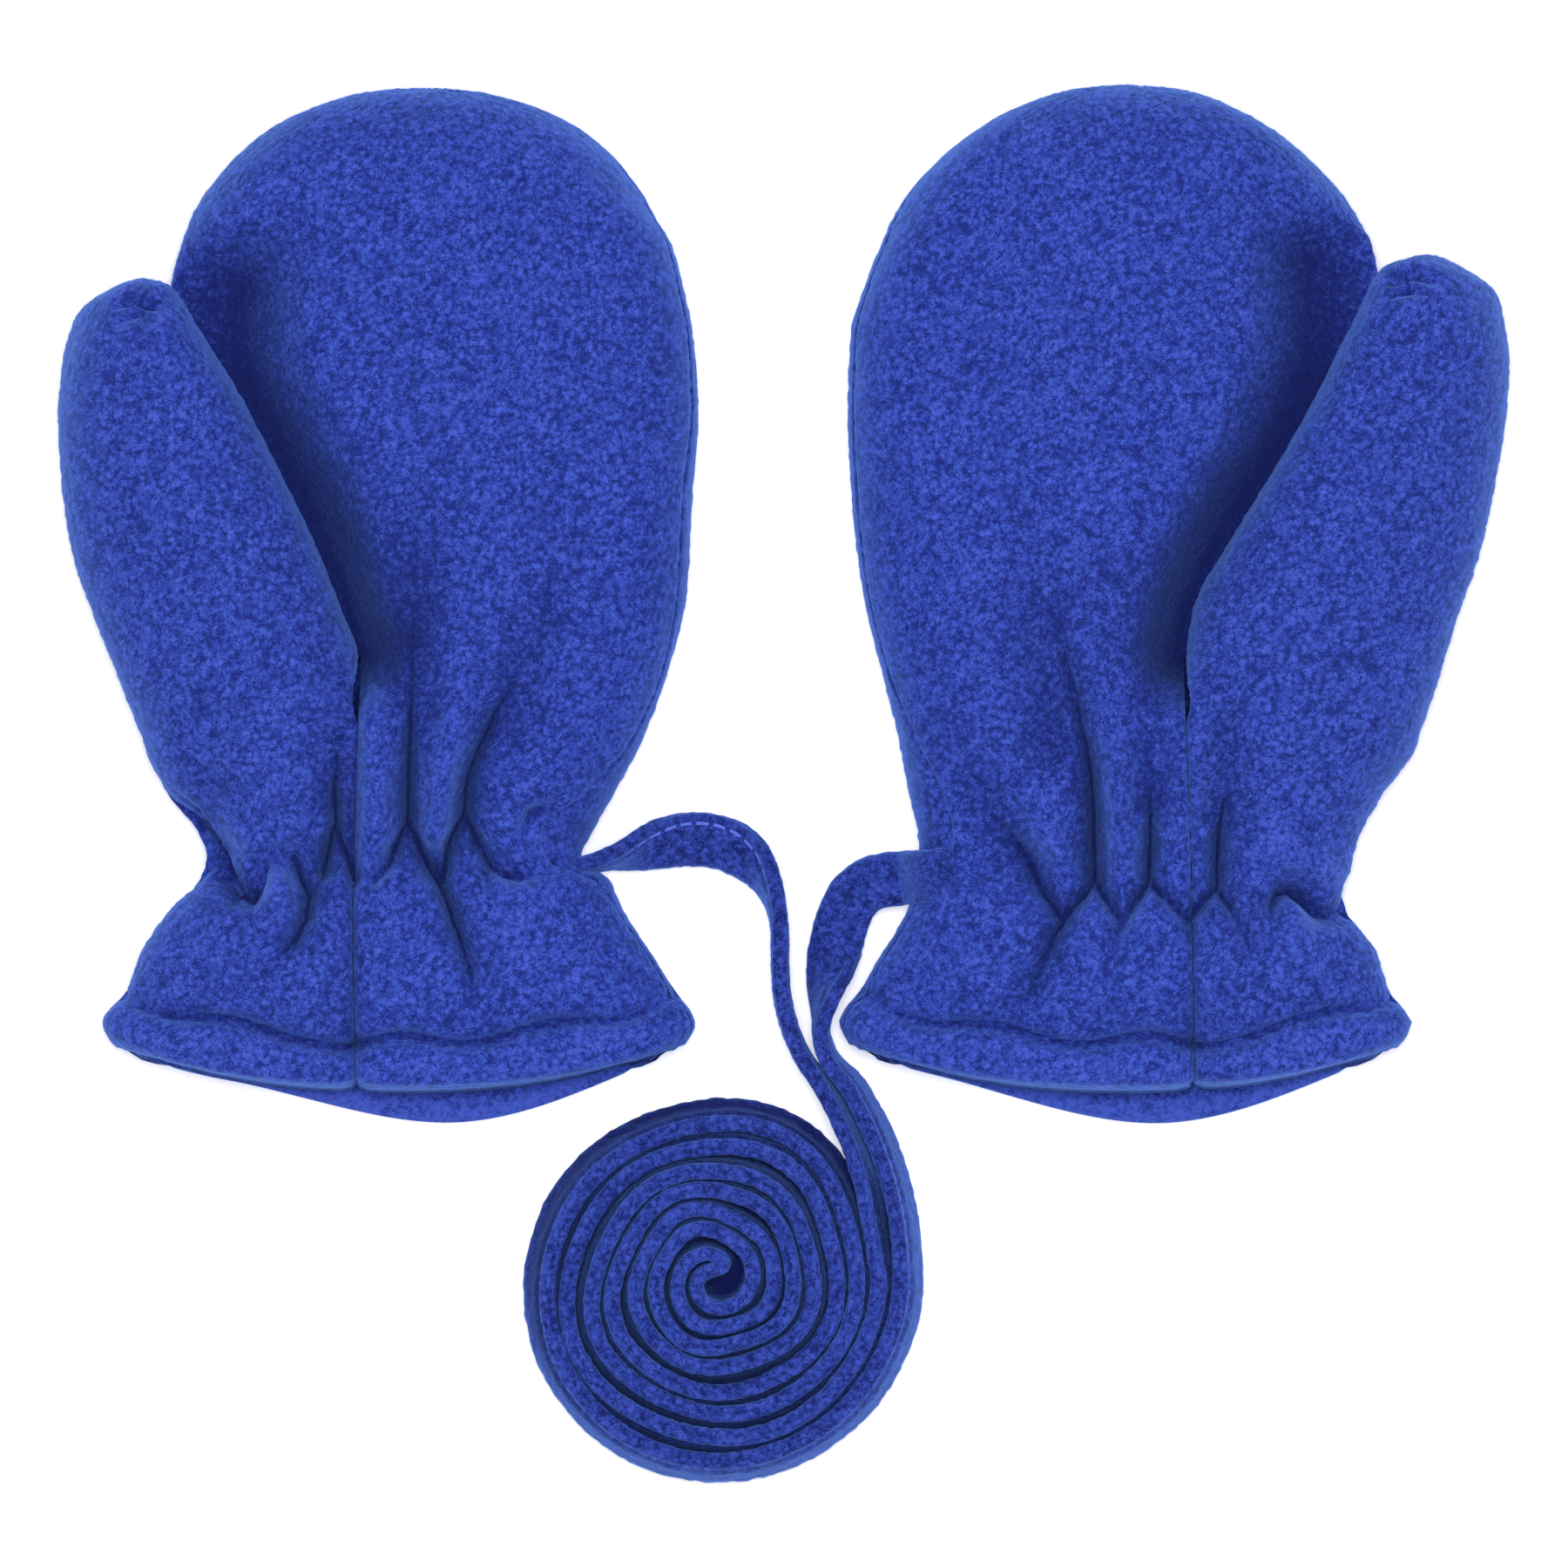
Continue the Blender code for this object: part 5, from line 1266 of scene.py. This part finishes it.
def palm_height(mitten, along, turn, lift, inset):
    """Height of the palm's top face: the seam's height, the border's lift and the dome."""
    tip = tip_lift(along, mitten.hand[-1].along, TIP_ROUND)
    crown = column(mitten.hand, "crown", along) - inset
    dome = column(mitten.hand, "dome", along)
    return SEAM_HEIGHT + tip * (crown * lift + dome * (1.0 - turn * turn))


def palm_surface(mitten, along, share, inset=0.0):
    """The palm's top face, or a face inset inside it: out, Y and height."""
    middle, half, reach = hand_section(mitten, along)
    offset, lift = across(share, half - inset, reach - inset)
    turn = offset / (half - inset)
    place = hand_place(mitten, along, turn, inset, TIP_ROUND)
    height = palm_height(mitten, along, turn, lift, inset)
    return np.stack([middle + offset, place, height], axis=-1)


def back_surface(mitten, along, share, inset=0.0):
    """The back panel's underside, flat on the table and rounded up to the side seams."""
    middle, half, reach = hand_section(mitten, along)
    offset, lift = across(share, half - inset, BOTTOM_REACH - inset)
    place = hand_place(mitten, along, offset / (half - inset), inset, BACK_TIP_ROUND)
    tip = tip_lift(along, mitten.hand[-1].along, BACK_TIP_ROUND)
    seam = SEAM_HEIGHT - SEWN_GAP
    height = seam - (seam - inset) * lift * tip
    return np.stack([middle + offset, place, height], axis=-1)


def seam_share(mitten, along, gap):
    """The share across the palm at which the guide lies, moved out by a gap."""
    middle, half, reach = hand_section(mitten, along)
    guide = column(mitten.guide, "out", along) + gap
    return share_across(guide - middle, half, reach)


def string_side_share(mitten, along, gap):
    """The share at which the palm ends on the string side, moved in by a gap."""
    middle, half, reach = hand_section(mitten, along)
    wrap = column(mitten.hand, "wrap", along) + gap
    return share_across(wrap - half, half, reach)


for mitten in MITTENS:
    half_width = float(hand_section(mitten, WIDEST_ROW)[1])
    print(mitten.name, "hand is", round(2.0 * half_width, 1), "mm wide")

# %% [markdown]
# ## Relief in the cloth
#
# Three things move the cloth in or out of the smooth form: the gathers, the turned-up hem with
# the groove of its stitches, and the dip along the middle seam. Sculpting would do it by eye.
# Here each is a short formula of how far a point is from the crease's or the seam's line.

# %% What moves the cloth
HEM_DEPTH = 8.8             # from the hem's edge to its stitches
HEM_SWELL = 1.3             # how far the turned-up layer swells the hem
HEM_ROUND = 2.5             # the swell grows over this length from the edge,
HEM_FALL = 1.8              # and ends over this length at the stitches
HEM_CURL = 1.4              # how far its lower edge curls in
HEM_CURL_LENGTH = 3.4
HEM_SIDE_POWER = 6          # the hem's forms hold their depth until close to the side seams
STITCH_DEPTH = 3.3
STITCH_WIDTH = 0.9
STITCH_POINT = 1.1          # a sharp groove, where 2 would be a round one
STITCH_AT_SIDES = 0.3       # the share of its depth that the groove keeps at the side seams
STITCH_WAVE = 0.9           # how far the hem's stitches wander
STITCH_WAVELENGTH = 4.2
STITCH_NOTCH = 1.5          # how many waves lower they are where they cross the middle seam,
NOTCH_WIDTH = 5.0           # over this width
SEAM_DIP = 2.1
SEAM_DIP_WIDTH = 1.3
CROTCH = -9.0               # where the thumb leaves the palm
THUMB_START = -20.0         # where the lower palm starts to turn into the thumb
FOLD_SHARE = 0.95           # the share of a fold that the cloth's inner face follows


def crease_depth(crease, out, along):
    """How deep a crease is at each point: the depth at the nearest place on its line, fading with
    the distance from it as e to the minus (distance over width) to the power of point."""
    nearest = np.full(out.shape, np.inf)
    depth = np.zeros(out.shape)
    for first, second in zip(crease.line, crease.line[1:]):
        step = (second.out - first.out, second.along - first.along)
        run = (out - first.out) * step[0] + (along - first.along) * step[1]
        run = np.clip(run / (step[0] ** 2 + step[1] ** 2), 0.0, 1.0)
        distance = np.hypot(out - first.out - run * step[0], along - first.along - run * step[1])
        here = first.depth + (second.depth - first.depth) * run
        depth = np.where(distance < nearest, here, depth)
        nearest = np.minimum(nearest, distance)
    return depth * np.exp(-(nearest / crease.width) ** crease.point)


def relief(mitten, along, surface):
    """How far the cloth moves out: less the deepest crease, plus ridges, hem and middle seam."""
    out = surface[..., 0]
    place = surface[..., 1]
    depths = np.stack([crease_depth(crease, out, place) for crease in mitten.creases])
    total = -depths.max(axis=0).clip(min=0.0) - depths.min(axis=0).clip(max=0.0)
    beside = out - column(mitten.guide, "out", place)
    notch = STITCH_NOTCH * np.exp(-(beside / NOTCH_WIDTH) ** 2)
    stitch_line = HEM_START + HEM_DEPTH + STITCH_WAVE * (np.sin(out / STITCH_WAVELENGTH) - notch)
    middle, half, _ = hand_section(mitten, along)
    upper_side = 1.0 - np.clip(np.abs(out - middle) / half, 0.0, 1.0) ** HEM_SIDE_POWER
    hem_edge = smoothstep(HEM_START, HEM_START + HEM_ROUND, along) * upper_side
    total += HEM_SWELL * (1.0 - smoothstep(stitch_line - HEM_FALL, stitch_line, along)) * hem_edge
    curl = HEM_CURL * (1.0 - smoothstep(HEM_START, HEM_START + HEM_CURL_LENGTH, along)) ** 2
    total -= curl * upper_side
    groove = np.exp(-(np.abs(along - stitch_line) / STITCH_WIDTH) ** STITCH_POINT)
    total -= STITCH_DEPTH * groove * (STITCH_AT_SIDES + (1.0 - STITCH_AT_SIDES) * upper_side)
    lower = 1.0 - smoothstep(THUMB_START, CROTCH, along)
    total -= SEAM_DIP * lower * np.exp(-np.abs(beside) / SEAM_DIP_WIDTH)
    return total


deepest = max(place.depth for crease in LEFT_CREASES for place in crease.line)
print("the left hand's deepest gather goes", deepest, "mm in")

# %% [markdown]
# ## Where the thumb presses
#
# The thumb lies on the palm and pushes it down beside it, up to the thumb's own tip. A simulated
# collision could find that hollow, but its place is already known from the guide. So the palm is
# lowered here, fully under the thumb and less over a slope that is wider towards the fingertips.
# Rows of points come next: even ones, and rows that close up where a form rounds off, so that
# each step over the cloth is about as long as the next.

# %% The hollow, and rows of points
PRESSED_HEIGHT = 7.2        # what the palm is lowered to
PRESSED_SLOPE = 10.0        # width of the slope beside the thumb
PRESSED_WIDEN = 5.0         # and how much wider it is in the end,
WIDEN_START = -6.0          # between these two rows
WIDEN_END = 25.0
PRESSED_BELOW_TIP = 4.0     # it ends from this far below the thumb's tip
PRESSED_PAST_TIP = 12.0     # to this far past it


def pressed(mitten, along, surface, inset=0.0):
    """Lower the palm under the thumb, and in a slope beside the thumb, up to its tip."""
    beside = column(mitten.guide, "out", along) - surface[..., 0]
    slope = PRESSED_SLOPE + PRESSED_WIDEN * smoothstep(WIDEN_START, WIDEN_END, along)
    share = 1.0 - smoothstep(0.0, 1.0, beside / slope)
    share = share * smoothstep(THUMB_START, CROTCH, along)
    top = mitten.thumb[-1].along
    past = smoothstep(top - PRESSED_BELOW_TIP, top + PRESSED_PAST_TIP, surface[..., 1])
    share = share * (1.0 - past)
    lowered = surface.copy()
    lowered[..., 2] -= share * np.maximum(surface[..., 2] - PRESSED_HEIGHT + inset, 0.0)
    return lowered


def even_rows(start, end, step):
    """Rows a step apart, as near as a whole even number of them allows."""
    count = 2 * max(1, round(abs(end - start) / step / 2.0))
    return np.linspace(start, end, count + 1)


def rounded_rows(start, end, height, step):
    """Rows that close up towards a rounded tip: even steps in its ellipse's quarter's angle."""
    girth = math.pi / 2.0 * math.sqrt(((end - start) ** 2 + height ** 2) / 2.0)
    count = 2 * max(1, round(girth / step / 2.0))
    return start + (end - start) * np.sin(np.linspace(0.0, math.pi / 2.0, count + 1))


rows = rounded_rows(start=60.0, end=85.0, height=16.0, step=1.0)
print("the fingertips' last two rows are", round(float(rows[-1] - rows[-2]), 3), "mm apart")

# %% [markdown]
# ## The palms
#
# The palm is one piece from the hem to the fingertips. Below the crotch it ends at the middle
# seam, and above it the cloth goes on in under the thumb to the other side seam. Two grids would
# leave a join between them. So its one grid has two parts, and the cells of the second are left
# out below the crotch.

# %% Palm panels
PALM_STEP = 0.62            # millimetres between the palm's points
FINGER_WIDTH = 68.0         # of cloth, from the string side's seam to the guide
TUCKED_WIDTH = 40.0         # and from the guide to the thumb side's seam
TIP_RISE = 16.0             # height of the form that closes at the fingertips
PAST_SEAM = 0.001           # the share past the seam at which the cloth counts as under the thumb
UNDER_FADE = 4.0            # the folds fade over this length below the crotch, under the thumb
# Painted shade in the thumb's hollow and beside it, stored as a crease:
PAINTED_HOLLOW_SHADE = 0.42         # how far the thumb's hollow counts as a crease
SHADE_DEPTH = 2.2           # and how far the palm beside it does, fading over the width
SHADE_WIDTH = 30.0
SHADE_START = 8.0           # that shade starts over this far on each side of the crotch,
SHADE_PAST_TIP = 26.0       # and ends this far past the thumb's tip
TIP_FADE = 0.36             # the share of both that is gone where the thumb ends
TIP_FADE_START = 10.0       # they fade from this far above the crotch
Panel = namedtuple("Panel", "outer inner keep depth")


def painted_hollow_shade(mitten, along, plain, lowered):
    """Painted shade in the thumb's hollow, as a crease: a share of its depth, and a soft fade."""
    tip = mitten.thumb[-1].along
    shade = PAINTED_HOLLOW_SHADE * (plain - lowered)[..., 2]
    beside = column(mitten.guide, "out", along) - plain[..., 0]
    beyond = smoothstep(CROTCH - SHADE_START, CROTCH + SHADE_START, along)
    beyond = beyond * (1.0 - smoothstep(0.0, SHADE_PAST_TIP, along - tip))
    shade += SHADE_DEPTH * (1.0 - smoothstep(0.0, SHADE_WIDTH, beside)) * beyond
    return shade * (1.0 - TIP_FADE * smoothstep(CROTCH + TIP_FADE_START, tip, along))


def palm_panel(mitten):
    """The palm: rows along the hand, and shares across it from the string side to the thumb."""
    end = mitten.hand[-1].along
    lower = even_rows(HEM_START, CROTCH, PALM_STEP)
    upper = even_rows(CROTCH, end - TIP_ROUND, PALM_STEP)[1:]
    tip = rounded_rows(end - TIP_ROUND, end, TIP_RISE, PALM_STEP)[1:]
    along = np.concatenate((lower, upper, tip))[:, None]
    seam = seam_share(mitten, along, -SEWN_GAP / 2.0)
    string_side = string_side_share(mitten, along, SEWN_GAP / 2.0)
    fingers = even_rows(0.0, 1.0, PALM_STEP / FINGER_WIDTH)
    tucked = even_rows(0.0, 1.0, PALM_STEP / TUCKED_WIDTH)[1:]
    share = np.concatenate((string_side + (seam - string_side) * fingers,
                            seam + (1.0 - seam) * tucked), axis=1)

    plain = palm_surface(mitten, along, share)
    under_thumb = smoothstep(CROTCH - UNDER_FADE, CROTCH, along) * (share > seam + PAST_SEAM)
    moved = relief(mitten, along, plain) * (1.0 - under_thumb)
    shift = surface_normals(plain) * moved[..., None]
    lowered = pressed(mitten, along, plain)
    inner = pressed(mitten, along, palm_surface(mitten, along, share, FLEECE), FLEECE)
    keep = all_cells(plain)
    keep[:(len(lower) - 1) // 2, (len(fingers) - 1) // 2:] = False
    depth = painted_hollow_shade(mitten, along, plain, lowered) - moved
    return Panel(lowered + shift, inner + shift * FOLD_SHARE, keep, depth)


def dress(mitten, part, panel, dye, nap=1.0):
    """Lay one panel of cloth in its node's place, and say what it is."""
    node = mitten.name + "_" + part
    piece = lay_cloth(node + "_cloth", panel.outer, panel.inner, panel.keep, mitten,
                      fleeces[dye], panel.depth, nap)
    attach(piece, "root")
    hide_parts(node)
    piece.data.calc_loop_triangles()
    print(piece.name, "has", len(piece.data.loop_triangles), "triangles and an area of",
          round(grid_area(panel.outer) / 100.0, 1), "square centimetres before cells are left out")


for mitten in MITTENS:
    dress(mitten, "palm", palm_panel(mitten), "palm_fleece")

# %% [markdown]
# ## The thumbs
#
# The thumb's upper half is cut in one with the thumb side of the lower palm and the cuff. It
# leaves the palm at the crotch and becomes half a tube, rounded at its tip. A separate tube would
# need a seam that the real one hasn't, so one surface turns from the palm's form into the
# thumb's.

# %% Thumb fronts
THUMB_LIFT = 0.6            # of the thumb's inner edge over the pressed palm
THUMB_CLEAR = -6.0          # the row from which the thumb has its own form
THUMB_CROWN = 13.0          # height of the thumb over its edges
THUMB_ROUND = 15.0          # length over which its tip is rounded
THUMB_STEP = 0.62
THUMB_GIRTH = 48.0          # of cloth over the thumb's front
FOLD_FADE = 25.0            # the palm's folds fade out over this length of the thumb


def lower_palm_surface(mitten, along, share, inset=0.0):
    """The thumb side of the lower palm, from the middle seam (0) to its outer edge (1)."""
    seam = seam_share(mitten, along, SEWN_GAP / 2.0)
    return palm_surface(mitten, along, seam + (1.0 - seam) * share, inset)


def thumb_place(mitten, along, turn):
    """Where a row lies along the thumb: bowed and tilted from one edge (-1) to the other (1)."""
    place = along + column(mitten.thumb, "bow", along) * turn * turn
    return place + column(mitten.thumb, "tilt", along) * turn


def thumb_surface(mitten, along, share, inset=0.0):
    """The thumb's upper half, from its inner edge (0) to its outer edge (1).

    It starts level with the lower palm and becomes half an ellipse on two edges, round at its tip.
    """
    edge_in = column(mitten.thumb, "inner", along) + SEAM_GAP / 2.0
    edge_out = column(mitten.thumb, "outer", along)
    angle = (2.0 * share - 1.0) * math.pi / 2.0
    turn = np.sin(angle)
    out = (edge_in + edge_out) / 2.0 + (edge_out - edge_in) / 2.0 * turn
    end = mitten.thumb[-1].along
    place = thumb_place(mitten, along, turn) - inset * tip_share(along, end, THUMB_ROUND)

    base_in = PRESSED_HEIGHT + THUMB_LIFT
    base = base_in + (column(mitten.thumb, "base", along) - base_in) * (turn + 1.0) / 2.0
    tip = tip_lift(along, end, THUMB_ROUND)
    rise = (THUMB_CROWN - inset) * tip * np.cos(angle)

    middle, half, reach = hand_section(mitten, along)
    half = (half + edge_out - middle) / 2.0
    middle = edge_out - half
    offset, lift = across(share_across(out - middle, half, reach), half - inset, reach - inset)
    level = palm_height(mitten, along, offset / (half - inset), lift, inset)

    free = smoothstep(THUMB_START, THUMB_CLEAR, along)
    out = (middle + offset) * (1.0 - free) + (out - inset * turn * tip) * free
    return np.stack([out, place, level * (1.0 - free) + (base + rise) * free], axis=-1)


def thumb_front_panel(mitten):
    """The lower palm's thumb side and, above the crotch, the thumb's upper half."""
    end = mitten.thumb[-1].along
    lower = even_rows(HEM_START, THUMB_START, THUMB_STEP)[:, None]
    upper = even_rows(THUMB_START, end - THUMB_ROUND, THUMB_STEP)[1:]
    tip = rounded_rows(end - THUMB_ROUND, end, THUMB_CROWN, THUMB_STEP)[1:]
    upper = np.concatenate((upper, tip))[:, None]
    share = even_rows(0.0, 1.0, THUMB_STEP / THUMB_GIRTH)[None, :]
    along = np.concatenate((lower, upper))
    plain, within = [np.concatenate((lower_palm_surface(mitten, lower, share, inset),
                                     thumb_surface(mitten, upper, share, inset)))
                     for inset in (0.0, FLEECE)]
    moved = relief(mitten, along, plain)
    moved = moved * (1.0 - smoothstep(THUMB_START, THUMB_START + FOLD_FADE, along))
    moved = moved - np.max([crease_depth(crease, plain[..., 0], plain[..., 1])
                            for crease in mitten.thumb_creases], axis=0)
    shift = surface_normals(plain) * moved[..., None]
    return Panel(plain + shift, within + shift * FOLD_SHARE, all_cells(plain), -moved)


print("a thumb's front has", len(even_rows(0.0, 1.0, THUMB_STEP / THUMB_GIRTH)), "points across")

# %% [markdown]
# ## Under the thumbs
#
# The thumb's lower half is a plain layer that lies on the palm and hangs down beside the hand. It
# is hardly seen, so it needs no creases: a coarse grid that is straight across and droops past
# the hand's edge is enough.

# %% Thumb unders, and both halves laid in place
UNDER_START = -5.5          # the row it starts from
UNDER_STEP = 1.0
UNDER_NAP = 0.3             # the share of the nap's depth that is left where it lies pressed
UNDER_WIDTH = 34.0          # of cloth across it
THUMB_SLACK = 1.6           # between the two halves, all round
THUMB_TUCK = 4.5            # how much narrower it is where it lies on the hand
THUMB_TIP_SLACK = 6.0       # and how much shorter than the front
THUMB_DROOP = 6.0           # how far it hangs down beside the hand,
DROOP_WIDTH = 13.0          # over this width


def thumb_under_panel(mitten):
    """The thumb's lower half: a layer that lies on the palm and hangs down beside the hand."""
    end = mitten.thumb[-1].along - FLEECE - THUMB_TIP_SLACK
    along = even_rows(UNDER_START, end, UNDER_STEP)[:, None]
    share = even_rows(0.0, 1.0, UNDER_STEP / UNDER_WIDTH)[None, :]
    turn = 2.0 * share - 1.0
    place = thumb_place(mitten, along, turn)
    inset = FLEECE + THUMB_SLACK
    edge_in = column(mitten.thumb, "inner", along) + inset
    edge_out = column(mitten.thumb, "outer", along) - inset
    hand_edge = column(mitten.hand, "thumb_edge", along) + SEAM_GAP
    free = smoothstep(0.0, DROOP_WIDTH, edge_out - hand_edge)
    edge_out = edge_out - THUMB_TUCK * (1.0 - free)
    out = edge_in + (edge_out - edge_in) * share
    droop = THUMB_DROOP * smoothstep(0.0, DROOP_WIDTH, out - hand_edge)
    lower = np.stack([out, place, PRESSED_HEIGHT + SEAM_GAP - droop], axis=-1)
    upper = lower + np.array([0.0, 0.0, UNDER_FLEECE])
    return Panel(upper, lower, all_cells(upper), np.zeros(upper.shape[:2]))


for mitten in MITTENS:
    dress(mitten, "thumb_under", thumb_under_panel(mitten), "back_fleece",
          UNDER_NAP)
    dress(mitten, "thumb_front", thumb_front_panel(mitten), "thumb_fleece")

# %% [markdown]
# ## The backs
#
# The back lies on the table, flat under the hand and rounded up to the side seams. On the string
# side it comes round the edge on to the palm's side by the wrist, where the gathers pull it, and
# its hem shows below the palm's at the cuff. A flat sheet under the hand would miss both, so one
# grid runs round the edge and across.

# %% Back panels
BACK_STEP = 0.95
WRAP_POINTS = 9             # across the strip that comes round on to the palm's side,
BORDER_POINTS = 9           # across each rounded border
FLAT_POINTS = 77            # and across the flat underside
BACK_DROP = 5.0             # how far the back's hem hangs below the palm's,
DROP_REACH = 38.0           # fading over this width on each side
DROP_FADE = 25.0            # and over this length up the hand
PAINTED_HEM_LIGHT = 6.0             # painted light on the hem that shows, as much as a ridge this high gets
PAINTED_HEM_LIGHT_EDGE = 1.0        # millimetres from its edge to where that starts to fade


def back_panel(mitten):
    """The back: round the string side's edge, across the flat underside and up the thumb side."""
    end = mitten.hand[-1].along
    even = even_rows(HEM_START, end - TIP_ROUND, BACK_STEP)
    tip = rounded_rows(end - TIP_ROUND, end, TIP_RISE, BACK_STEP)[1:]
    along = np.concatenate((even, tip))[:, None]
    string_side = string_side_share(mitten, along, -SEWN_GAP / 2.0)
    top = string_side + (-1.0 - string_side) * np.linspace(0.0, 1.0, WRAP_POINTS)[:-1]
    border = np.linspace(1.0, BORDER, BORDER_POINTS)
    flat = np.linspace(BORDER, -BORDER, FLAT_POINTS)
    bottom = np.concatenate((-border, -flat[1:], border[::-1][1:]))[None, :]

    wrapped = palm_surface(mitten, along, top)
    moved = relief(mitten, along, wrapped)
    shift = -surface_normals(wrapped) * moved[..., None]    # its shares run outwards from the palm
    outer = np.concatenate((wrapped + shift, back_surface(mitten, along, bottom)), axis=1)
    within = palm_surface(mitten, along, top, FLEECE) + shift * FOLD_SHARE
    inner = np.concatenate((within, back_surface(mitten, along, bottom, FLEECE)), axis=1)
    beside = np.abs(outer[..., 0] - mitten.drop_centre)
    hem = BACK_DROP * (1.0 - smoothstep(HEM_START, HEM_START + DROP_FADE, along))
    hem = hem * (1.0 - smoothstep(0.0, DROP_REACH, beside))
    outer[..., 1] -= hem
    inner[..., 1] -= hem
    depth = np.zeros(outer.shape[:2])
    depth[:, :top.shape[1]] = -moved
    # Painted light on the back's hem, where it shows below the palm's
    painted_light_start = HEM_START + PAINTED_HEM_LIGHT_EDGE
    depth -= PAINTED_HEM_LIGHT * (1.0 - smoothstep(painted_light_start, painted_light_start + BACK_DROP, along))
    # The grid is turned round, so that the back faces down.
    return Panel(outer[:, ::-1], inner[:, ::-1], all_cells(outer), depth[:, ::-1])


for mitten in MITTENS:
    dress(mitten, "back", back_panel(mitten), "back_fleece")

# %% [markdown]
# ## The table and the light
#
# The pair is lit as for a catalogue: a white table, a large soft lamp overhead and white all
# round. Several lamps would cast several shadows. One soft lamp and a bright world give a pale
# shadow like the photograph's. The floor is a plain pale sheet, a little under the cloth.

# %% Floor and lamp
FLOOR_HALF = 1.5            # metres, as all of the floor's and the lamp's measures
FLOOR_LEVEL = -0.0006
FLOOR_CORNERS = [(-1, -1), (1, -1), (1, 1), (-1, 1)]
FLOOR_FINISH = {
    "Base Color": (0.95, 0.95, 0.95, 1.0),
    "Roughness": 0.9,
    "Emission Color": (1.0, 1.0, 1.0, 1.0),
    "Emission Strength": 0.35,
}
LAMP_PLACE = (0.0, 0.04, 1.30)
LAMP_SIZE = 0.35
LAMP_POWER = 9.5
WORLD_COLOUR = (1.0, 1.0, 1.0, 1.0)
WORLD_STRENGTH = 0.50

floor_mesh = bpy.data.meshes.new("floor")
floor_mesh.from_pydata([(x * FLOOR_HALF, y * FLOOR_HALF, FLOOR_LEVEL) for x, y in FLOOR_CORNERS],
                       [], [(0, 1, 2, 3)])
floor = bpy.data.objects.new("floor", floor_mesh)
bpy.context.scene.collection.objects.link(floor)
floor_paint = bpy.data.materials.new("floor_paint")
floor_paint.use_nodes = True
floor_shader = floor_paint.node_tree.nodes["Principled BSDF"]
for socket, value in FLOOR_FINISH.items():
    floor_shader.inputs[socket].default_value = value
floor_mesh.materials.append(floor_paint)

lamp = bpy.data.lights.new("overhead lamp", "AREA")
lamp.energy = LAMP_POWER
lamp.size = LAMP_SIZE
holder = bpy.data.objects.new("overhead lamp", lamp)
holder.location = LAMP_PLACE
holder.rotation_euler = (math.atan2(LAMP_PLACE[1], LAMP_PLACE[2]), 0.0, math.pi)
bpy.context.scene.collection.objects.link(holder)

bpy.context.scene.view_settings.view_transform = "Standard"
world = bpy.data.worlds.new("soft white")
world.use_nodes = True
sky = world.node_tree.nodes["Background"]
sky.inputs["Color"].default_value = WORLD_COLOUR
sky.inputs["Strength"].default_value = WORLD_STRENGTH
bpy.context.scene.world = world
print("the lamp hangs", LAMP_PLACE[2], "m over the table")
